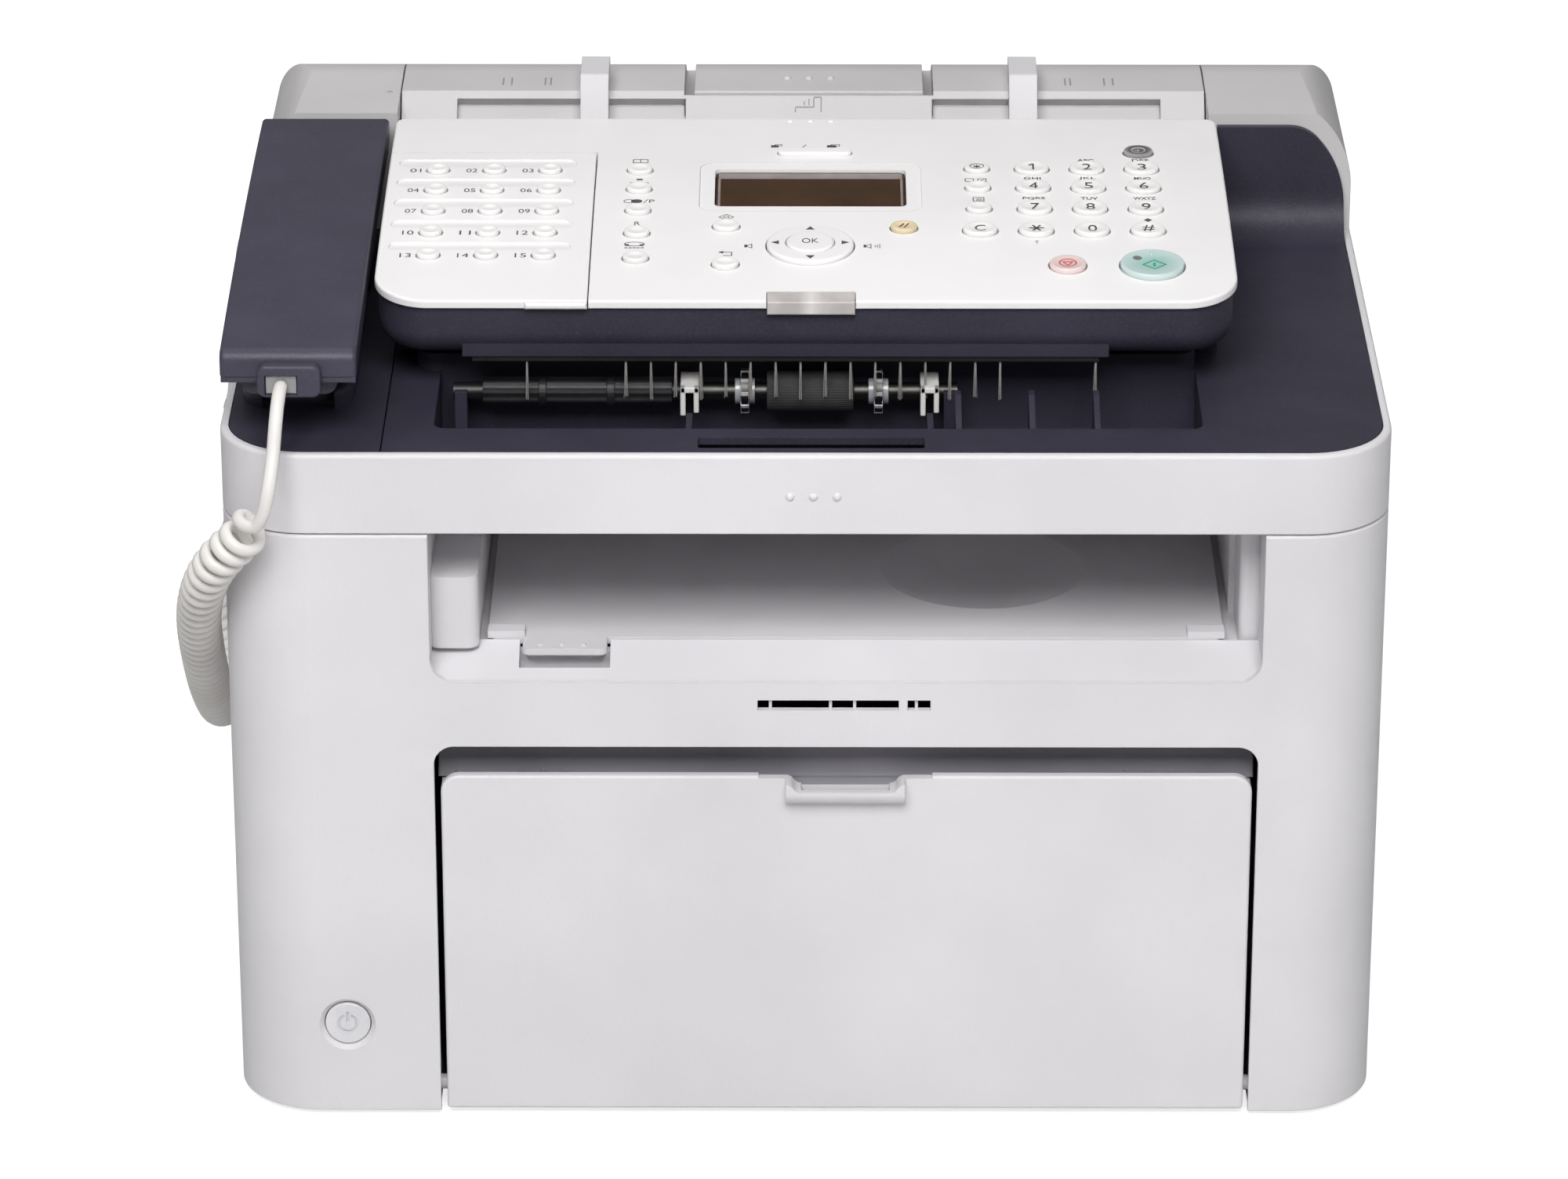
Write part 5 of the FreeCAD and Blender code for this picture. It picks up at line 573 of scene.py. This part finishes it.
mesh.materials.append(cord_pvc)
curly_cord = bpy.data.objects.new("curly_cord", mesh)
scene.collection.objects.link(curly_cord)
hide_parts("handset_cord_lead", "handset_cord_coil", "handset_cord_tail")
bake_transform(curly_cord)

# The cord's two plugs: clear styrene, glossy, with a latch that clicks into the handset and into the
# jack on the left side.
plug_styrene = moulded("clear_styrene", "#D9DADA", "#E8E9E9", 0.12, drift_mm=11, Transmission_Weight=0.6,
                       IOR=1.58)
paint(plug_styrene, "handset_plug", "base_plug")

# The operation panel: bezel, one-touch plate, mode bar and direction ring of glossy white ABS, whose fine
# mould skin is drawn at 0.7 mm, and legends pad-printed in dull grey ink. Three moulded dots stand at the
# rear edge, and a two-digit number beside each one-touch key.
panel_abs = moulded("bright_white_abs", "#F4F2F2", "#FAF8F8", 0.36, drift_mm=80, grain_mm=0.7, relief=0.04)
paint(panel_abs, "panel_bezel", "one_touch_plate", "mode_key", "nav_ring", "ok_key")
dots("panel_dots", "panel_bezel", "operation_panel", "panel_white", panel_abs, (-5.3, 1.6, 8.5), 195.0)
INK_T, INK_SINK = 0.06, 0.02
ONE_TOUCH_X, ONE_TOUCH_PITCH, ONE_TOUCH_ROWS = -129.4, 18.6, (148.8, 132.0, 115.2, 98.4, 81.6)
grey_ink = moulded("grey_pad_ink", "#4B4B50", "#57575C", 0.55, drift_mm=6)


def letters(bm, words, x, depth, wide, tall, weight=0.0):
    """Figures or letters, drawn flat to a given width and height in millimetres."""
    data = bpy.data.curves.new("ink", "FONT")
    data.body = words
    data.offset = weight
    holder = bpy.data.objects.new("ink", data)
    scene.collection.objects.link(holder)
    mesh = bpy.data.meshes.new_from_object(holder)
    bpy.data.objects.remove(holder)
    xs = [v.co.x for v in mesh.vertices]
    ys = [v.co.y for v in mesh.vertices]
    mesh.transform(Matrix.Translation((x, FACE_Y + depth, 0))
                   @ Matrix.Diagonal((wide / (max(xs) - min(xs)), tall / (max(ys) - min(ys)), 1, 1))
                   @ Matrix.Translation((-(max(xs) + min(xs)) / 2, -(max(ys) + min(ys)) / 2, 0)))
    bm.from_mesh(mesh)
    bpy.data.meshes.remove(mesh)


def bar(bm, x, depth, wide, tall, turn=0.0):
    """A flat bar of ink."""
    spot = Matrix.Translation((x, FACE_Y + depth, 0)) @ Matrix.Rotation(math.radians(turn), 4, "Z")
    spot = spot @ Matrix.Diagonal((wide, tall, 1, 1))
    bmesh.ops.create_grid(bm, x_segments=1, y_segments=1, size=0.5, matrix=spot)


def patch(bm, x, depth, half_w, half_d, sides=24, turn=0.0, line=0.0):
    """A flat patch of ink with that many sides, or only its outline."""
    spot = Matrix.Translation((x, FACE_Y + depth, 0)) @ Matrix.Diagonal((half_w, half_d, 1, 1))
    spot = spot @ Matrix.Rotation(math.radians(turn), 4, "Z")
    ends = bmesh.ops.create_circle(bm, cap_ends=True, segments=sides, radius=1.0, matrix=spot)["verts"]
    if line:
        face = list(ends[0].link_faces)
        bmesh.ops.inset_region(bm, faces=face, thickness=line, use_boundary=True, use_even_offset=True)
        bmesh.ops.delete(bm, geom=face, context="FACES")


def ink(bm, name, node, body, slot, mat):
    """Lays flat ink on a node's upper surface as a thin closed film."""
    height = surface(node)
    for f in bm.faces:
        if f.normal.z < 0:
            f.normal_flip()
    bmesh.ops.triangulate(bm, faces=bm.faces)
    film = bmesh.ops.extrude_face_region(bm, geom=bm.faces[:], use_keep_orig=True)["geom"]
    for v in bm.verts:
        v.co.z = height(v.co.x, v.co.y) - INK_SINK
    bmesh.ops.translate(bm, verts=[v for v in film if isinstance(v, bmesh.types.BMVert)], vec=(0, 0, INK_T))
    ride_on(bm, name, body, slot, mat)


bm = bmesh.new()
for i in range(15):
    letters(bm, "%02d" % (i + 1), ONE_TOUCH_X + ONE_TOUCH_PITCH * (i % 3), ONE_TOUCH_ROWS[i // 3], 3.7, 3.0)
ink(bm, "one_touch_numbers", "one_touch_plate", "operation_panel", "energy_grey", grey_ink)

# Printed beside the keys in the same ink: telephone letters over the number keys, and plain line symbols
# for phone book, coded dial, redial, hook, menu, back, loudness and the rest. Each symbol starts from its
# own place, given as X and depth.
KEY_PITCH = 18.2
LEGEND_X, LEGEND_ROWS, LEGEND_W, LEGEND_H, LEGEND_WEIGHT = 74.9, (158.3, 142.6, 125.9), 1.85, 2.2, 0.012
HASH_X, HASH_D, TONE_D = 111.6, 108.6, 91.6
FINE, STROKE = 0.3, 0.35
bm = bmesh.new()
for i, words in enumerate(("ABC", "DEF", "GHI", "JKL", "MNO", "PQRS", "TUV", "WXYZ"), 1):
    letters(bm, words, LEGEND_X + KEY_PITCH * (i % 3), LEGEND_ROWS[i // 3], LEGEND_W * len(words), LEGEND_H,
            LEGEND_WEIGHT)
patch(bm, HASH_X, HASH_D, 1.35, 1.5, sides=4)
letters(bm, "T", LEGEND_X, TONE_D, 1.3, LEGEND_H)
BOOK_X, BOOK_D, PAGE_W, PAGE_H = -55.0, 157.2, 2.4, 3.2
bar(bm, BOOK_X, BOOK_D, FINE, PAGE_H)
for side in (-1, 1):
    bar(bm, BOOK_X + side * PAGE_W, BOOK_D, FINE, PAGE_H)
    for edge in (-1, 1):
        bar(bm, BOOK_X + side * PAGE_W / 2, BOOK_D + 1.5 * edge, PAGE_W, STROKE)
CODE_X, CODE_D = -55.0, 138.4
HOOK_X, HOOK_D = -55.6, 87.2
for x, depth in ((CODE_X, CODE_D), (HOOK_X, HOOK_D)):
    for k in range(-2, 3):
        patch(bm, x + 1.3 * k, depth, 0.55, 0.5, sides=12, line=0.22)
bar(bm, CODE_X, CODE_D + 2.8, 2.0, 1.3)
patch(bm, HOOK_X, HOOK_D + 2.8, 3.4, 1.6, sides=20, line=STROKE)
for side in (-1, 1):
    bar(bm, HOOK_X + side * 2.4, HOOK_D + 2.0, 1.3, 1.3)
REDIAL_X, REDIAL_D = -55.6, 123.2
patch(bm, REDIAL_X - 2.4, REDIAL_D, 1.9, 1.5, line=FINE)
patch(bm, REDIAL_X, REDIAL_D, 1.9, 1.5)
bar(bm, REDIAL_X + 3.0, REDIAL_D, FINE, 3.0, turn=-24)
letters(bm, "P", REDIAL_X + 5.0, REDIAL_D, 1.8, 2.6)
RECALL_X, RECALL_D = -55.0, 105.6
letters(bm, "R", RECALL_X, RECALL_D, 1.9, 2.8)
MENU_X, MENU_D = -26.0, 110.6
patch(bm, MENU_X, MENU_D, 2.6, 2.4, sides=4, line=FINE)
patch(bm, MENU_X, MENU_D, 1.0, 0.9, sides=12, line=FINE)
BACK_X, BACK_D, BACK_HALF = -25.4, 82.8, 1.2
for edge in (-1, 1):
    bar(bm, BACK_X, BACK_D + edge * BACK_HALF, 2.8, STROKE)
bar(bm, BACK_X + 1.4, BACK_D, STROKE, 2.7)
patch(bm, BACK_X - 1.9, BACK_D + BACK_HALF, 1.1, 1.1, sides=3, turn=90)
QUIET_X, LOUD_X, SOUND_D = -18.6, 20.0, 88.6
for x in (QUIET_X, LOUD_X):
    bar(bm, x - 0.9, SOUND_D, 0.9, 1.9)
    patch(bm, x + 0.4, SOUND_D, 1.6, 2.0, sides=3, turn=90, line=FINE)
for k in range(3):
    bar(bm, LOUD_X + 2.4 + 0.75 * k, SOUND_D, 0.25, 1.4 + 0.8 * k)
PAIR_X, PAIR_D, PAIR_HALF = 56.1, 141.0, 2.1
for side in (-1, 1):
    patch(bm, PAIR_X + side * PAIR_HALF, PAIR_D, PAIR_HALF, 1.9, sides=4, turn=45, line=FINE)
bar(bm, PAIR_X + 2.3, PAIR_D + 0.2, FINE, 2.6, turn=-40)
SHEET_X, SHEET_D = 56.7, 125.0
patch(bm, SHEET_X, SHEET_D, 2.7, 2.4, sides=4, turn=45, line=0.32)
for k in (-1, 0, 1):
    bar(bm, SHEET_X + 0.2, SHEET_D - 0.05 + 0.75 * k, 2.0, 0.25)
MODE_X, MODE_D = -0.6, 170.8
bar(bm, MODE_X, MODE_D + 0.2, FINE, 3.0, turn=-24)
for x, wide in ((MODE_X - 9.8, 3.6), (MODE_X + 9.2, 4.4)):
    patch(bm, x, MODE_D, wide / 2, 1.5, sides=4, turn=45)
    patch(bm, x + 1.2, MODE_D + 1.0, wide / 2, 1.2, sides=4, turn=45, line=FINE)
ink(bm, "panel_legends", "panel_bezel", "operation_panel", "energy_grey", grey_ink)

# White keys: smooth ABS caps with dished tops and a slight shine, pushed through holes in the bezel.
# Figures, a letter or a line mark are printed on them, and four arrows on the direction ring.
NUMBER_X, NUMBER_ROWS, FIGURE_W, HASH_W, FIGURE_H = 75.0, (150.0, 134.0, 117.0, 100.0), 2.9, 4.0, 4.7
STEM, STAR_W, STAR_LINE = 0.6, 5.0, 0.55
key_abs = moulded("key_white_abs", "#F2F0EF", "#F9F7F6", 0.32, drift_mm=12)
paint(key_abs, "one_touch_keys", "number_keys", "function_keys")
bm = bmesh.new()
for i, figure in enumerate("123456789*0#"):
    x, depth = NUMBER_X + KEY_PITCH * (i % 3), NUMBER_ROWS[i // 3]
    if figure == "*":
        for turn in (0, 60, 120):
            bar(bm, x, depth, STAR_W, STAR_LINE, turn=turn)
    elif figure == "1":
        bar(bm, x + 0.35, depth, STEM, FIGURE_H)
        bar(bm, x - 0.45, depth + 1.7, 1.6, STEM, turn=38)
    else:
        letters(bm, figure, x, depth, HASH_W if figure == "#" else FIGURE_W, FIGURE_H)
ink(bm, "number_key_figures", "number_keys", "number_keys", "energy_grey", grey_ink)
FUNCTION_X, C_KEY_D, WHEEL_D = 56.7, 100.2, 150.2
bm = bmesh.new()
letters(bm, "C", FUNCTION_X, C_KEY_D, 3.5, 4.4)
patch(bm, FUNCTION_X, WHEEL_D, 2.4, 2.0, line=FINE)
for turn in (30, 90, 150):
    bar(bm, FUNCTION_X, WHEEL_D, 2.6, STROKE, turn=turn)
ink(bm, "function_key_marks", "function_keys", "function_keys", "energy_grey", grey_ink)
DIAL_X, DIAL_D, ARROW_OUT, ARROW_R = 1.4, 88.8, 11.0, 1.7
bm = bmesh.new()
letters(bm, "OK", DIAL_X, DIAL_D, 5.4, 3.6)
ink(bm, "ok_letters", "ok_key", "ok_key", "energy_grey", grey_ink)
bm = bmesh.new()
for turn in (0, 90, 180, 270):
    x = DIAL_X + ARROW_OUT * math.cos(math.radians(turn))
    depth = DIAL_D + ARROW_OUT * math.sin(math.radians(turn))
    patch(bm, x, depth, ARROW_R, ARROW_R, sides=3, turn=turn - 90)
ink(bm, "ring_arrows", "nav_ring", "nav_ring", "energy_grey", grey_ink)

# Start and stop keys: caps of tinted acrylic with a clear glossy skin, painted paler at the rim as painted
# light, for the light that the wall lets through. Their marks are printed in green and red, and the start
# key holds a lamp.
START_X, STOP_X, KEY_D = 111.5, 84.3, 74.5
MARK_X, MARK_D = START_X + 0.6, KEY_D - 1.2


def painted_rim_light(mat, x, depth, inner, outer, rim):
    """Painted light: a key's colour fades outwards from its middle into a paler rim colour."""
    tree = mat.node_tree
    shader = tree.nodes["Principled BSDF"]
    place = add(tree, "ShaderNodeTexCoord").outputs["Object"]
    flat = add(tree, "ShaderNodeVectorMath", operation="MULTIPLY", _0=place, _1=(1, 1, 0)).outputs[0]
    middle = (x * MM, (FACE_Y + depth) * MM, 0)
    away = add(tree, "ShaderNodeVectorMath", operation="DISTANCE", _0=flat, _1=middle).outputs["Value"]
    fade = add(tree, "ShaderNodeMapRange", Value=away, From_Min=inner * MM, From_Max=outer * MM).outputs[0]
    tint = shader.inputs["Base Color"].links[0].from_socket
    mix = add(tree, "ShaderNodeMix", data_type="RGBA", _0=fade, _6=tint, _7=srgb(rim))
    tree.links.new(mix.outputs[2], shader.inputs["Base Color"])
    return mat


aqua = moulded("aqua_acrylic", "#A3CCC5", "#AFD5CE", 0.22, drift_mm=14, Coat_Weight=0.4)
# Painted light: the start key's rim is painted paler where the wall lets the light through.
paint(painted_rim_light(aqua, START_X, KEY_D, 3.0, 10.5, "#D3E4E2"), "start_key")
green_ink = moulded("green_pad_ink", "#14A67F", "#20AF89", 0.45, drift_mm=6)
bm = bmesh.new()
patch(bm, MARK_X, MARK_D, 4.0, 3.8, sides=4, line=0.5)
bar(bm, MARK_X, MARK_D, 0.75, 3.0)
ink(bm, "start_mark", "start_key", "start_key", "start_green", green_ink)
lamp_grey = moulded("lamp_epoxy", "#6F716C", "#85877F", 0.25, drift_mm=3)
bm = bmesh.new()
patch(bm, START_X - 4.7, KEY_D + 3.6, 1.5, 1.5)
ink(bm, "start_lamp", "start_key", "start_key", "lens_clear", lamp_grey)
dots("start_dot", "start_key", "start_key", "start_green", aqua, (START_X,), KEY_D + 6.6, radius=0.8,
     rise=0.4)
pink = moulded("pink_acrylic", "#E6C4C0", "#EDD0CC", 0.22, drift_mm=14, Coat_Weight=0.4)
# Painted light: the stop key's rim is painted paler where the wall lets the light through.
paint(painted_rim_light(pink, STOP_X, KEY_D, 2.0, 6.4, "#F1DEDC"), "stop_key")
red_ink = moulded("red_pad_ink", "#DD4B40", "#E5574C", 0.45, drift_mm=6)
bm = bmesh.new()
patch(bm, STOP_X, KEY_D, 2.9, 2.9, line=0.45)
patch(bm, STOP_X, KEY_D - 0.1, 2.2, 2.2, sides=3, turn=180, line=0.4)
ink(bm, "stop_mark", "stop_key", "stop_key", "stop_pink", red_ink)

# Clear and energy keys: smooth ABS caps with a slight shine, one cream with two brown strokes and one dark
# grey with a pale printed ring and an edge painted paler, a painted highlight.
STROKES_X, STROKES_D = 31.9, 101.9
ENERGY_X, ENERGY_D = 110.9, 164.6
cream_abs = moulded("cream_abs", "#E2CDA6", "#EBD9B8", 0.30, drift_mm=14)
paint(cream_abs, "clear_key")
brown_ink = moulded("brown_pad_ink", "#6E5326", "#7A5E2E", 0.5, drift_mm=6)
bm = bmesh.new()
for shift in (-0.8, 0.8):
    bar(bm, STROKES_X + shift, STROKES_D, 0.45, 3.4, turn=-28)
ink(bm, "clear_mark", "clear_key", "clear_key", "clear_yellow", brown_ink)
dark_grey = moulded("dark_grey_abs", "#5F5D60", "#6A686B", 0.30, drift_mm=14)
# Painted highlight: the energy key's edge is painted paler.
paint(painted_rim_light(dark_grey, ENERGY_X, ENERGY_D, 3.4, 4.6, "#A8A3A3"), "energy_key")
pale_ink = moulded("pale_pad_ink", "#C4C3C6", "#CFCED1", 0.5, drift_mm=6)
bm = bmesh.new()
patch(bm, ENERGY_X, ENERGY_D, 2.4, 2.2, line=0.4)
bar(bm, ENERGY_X, ENERGY_D, FINE, 2.2)
bar(bm, ENERGY_X - 0.7, ENERGY_D, 1.4, FINE)
ink(bm, "energy_mark", "energy_key", "energy_key", "energy_grey", pale_ink)

# The display: a brown film behind an acrylic window, dull enough not to mirror the room, under a grey
# printed border on three sides.
BORDER_X0, BORDER_X1, BORDER_SIDE_D, BORDER_SIDE_W, BORDER_SIDE_H = -28.6, 31.6, 133.9, 0.8, 22.6
BORDER_TOP_D, BORDER_TOP_W, BORDER_TOP_H = 147.6, 60.8, 4.4
display_film = moulded("brown_display_film", "#3D2817", "#4A3220", 0.35, drift_mm=25,
                       Specular_IOR_Level=0.15)
paint(display_film, "lcd_window")
border_ink = moulded("border_ink", "#8B8381", "#9B9391", 0.4, drift_mm=9)
bm = bmesh.new()
bar(bm, (BORDER_X0 + BORDER_X1) / 2, BORDER_TOP_D, BORDER_TOP_W, BORDER_TOP_H)
for x in (BORDER_X0, BORDER_X1):
    bar(bm, x, BORDER_SIDE_D, BORDER_SIDE_W, BORDER_SIDE_H)
ink(bm, "display_border", "lcd_window", "operation_panel", "energy_grey", border_ink)

# The status lens: a light guide of frosted acrylic, clipped into the panel's front edge. Its colour is
# painted paler in the middle, over its lamp, as painted light.
LAMP_X, LAMP_CORE, LAMP_REACH, LAMP_SHARE = 1.65, 0.2, 4.0, 0.75
frosted = moulded("frosted_acrylic", "#BDB6B5", "#D2CCCA", 0.30, drift_mm=12, Coat_Weight=0.3)
tree = frosted.node_tree
shader = tree.nodes["Principled BSDF"]
place = add(tree, "ShaderNodeTexCoord").outputs["Object"]
side = add(tree, "ShaderNodeSeparateXYZ", Vector=place).outputs["X"]
shift = add(tree, "ShaderNodeMath", operation="SUBTRACT", _0=side, _1=LAMP_X * MM).outputs[0]
off = add(tree, "ShaderNodeMath", operation="ABSOLUTE", _0=shift).outputs[0]
lit = add(tree, "ShaderNodeMapRange", Value=off, From_Min=LAMP_CORE * MM, From_Max=LAMP_REACH * MM,
          To_Min=LAMP_SHARE, To_Max=0.0).outputs[0]
tint = shader.inputs["Base Color"].links[0].from_socket
# Painted light: a paler colour over the lamp in the middle.
painted_lamp_glow = add(tree, "ShaderNodeMix", data_type="RGBA", _0=lit, _6=tint, _7=srgb("#EDEAE8"))
tree.links.new(painted_lamp_glow.outputs[2], shader.inputs["Base Color"])
paint(frosted, "status_lens")

# Marks moulded into the document tray and the left cap: short lines for the guides to stop at, a plain
# stack of sheets and a small triangle. They are a thin flat film of darker grey: painted shade of the
# marks.
STOP_SPOTS = (-103.7, -100.8, -89.3, -87.4, 88.8, 90.6, 102.2, 105.2)
STOP_D, STOP_W, STOP_H = 231.5, 0.55, 7.4
STACK_LINES = ((5.2, 218.6, 3.6), (2.7, 219.15, 2.1), (1.05, 219.25, 1.5), (-0.55, 218.95, 0.9),
               (-3.6, 217.3, 1.0))
STACK_W = 0.45
STACK_EDGES = ((-0.45, 218.0, 6.3), (3.95, 220.4, 2.5))
CAP_MARK_X, CAP_MARK_D, CAP_MARK_W, CAP_MARK_H = -142.3, 222.6, 1.6, 1.0
# Painted shade: a flat darker grey in place of the shade inside the moulded marks.
painted_groove_shade = moulded("painted_shade_grey", "#9C9998", "#A8A5A4", 0.5, drift_mm=20)
bm = bmesh.new()
for x in STOP_SPOTS:
    bar(bm, x, STOP_D, STOP_W, STOP_H)
for x, depth, tall in STACK_LINES:
    bar(bm, x, depth, STACK_W, tall)
for x, depth, wide in STACK_EDGES:
    bar(bm, x, depth, wide, STROKE)
ink(bm, "tray_marks", "document_tray", "printer_cover", "cap_grey", painted_groove_shade)
bm = bmesh.new()
patch(bm, CAP_MARK_X, CAP_MARK_D, CAP_MARK_W, CAP_MARK_H, sides=3)
ink(bm, "cap_mark", "left_rear_cap", "printer_cover", "cap_grey", painted_groove_shade)
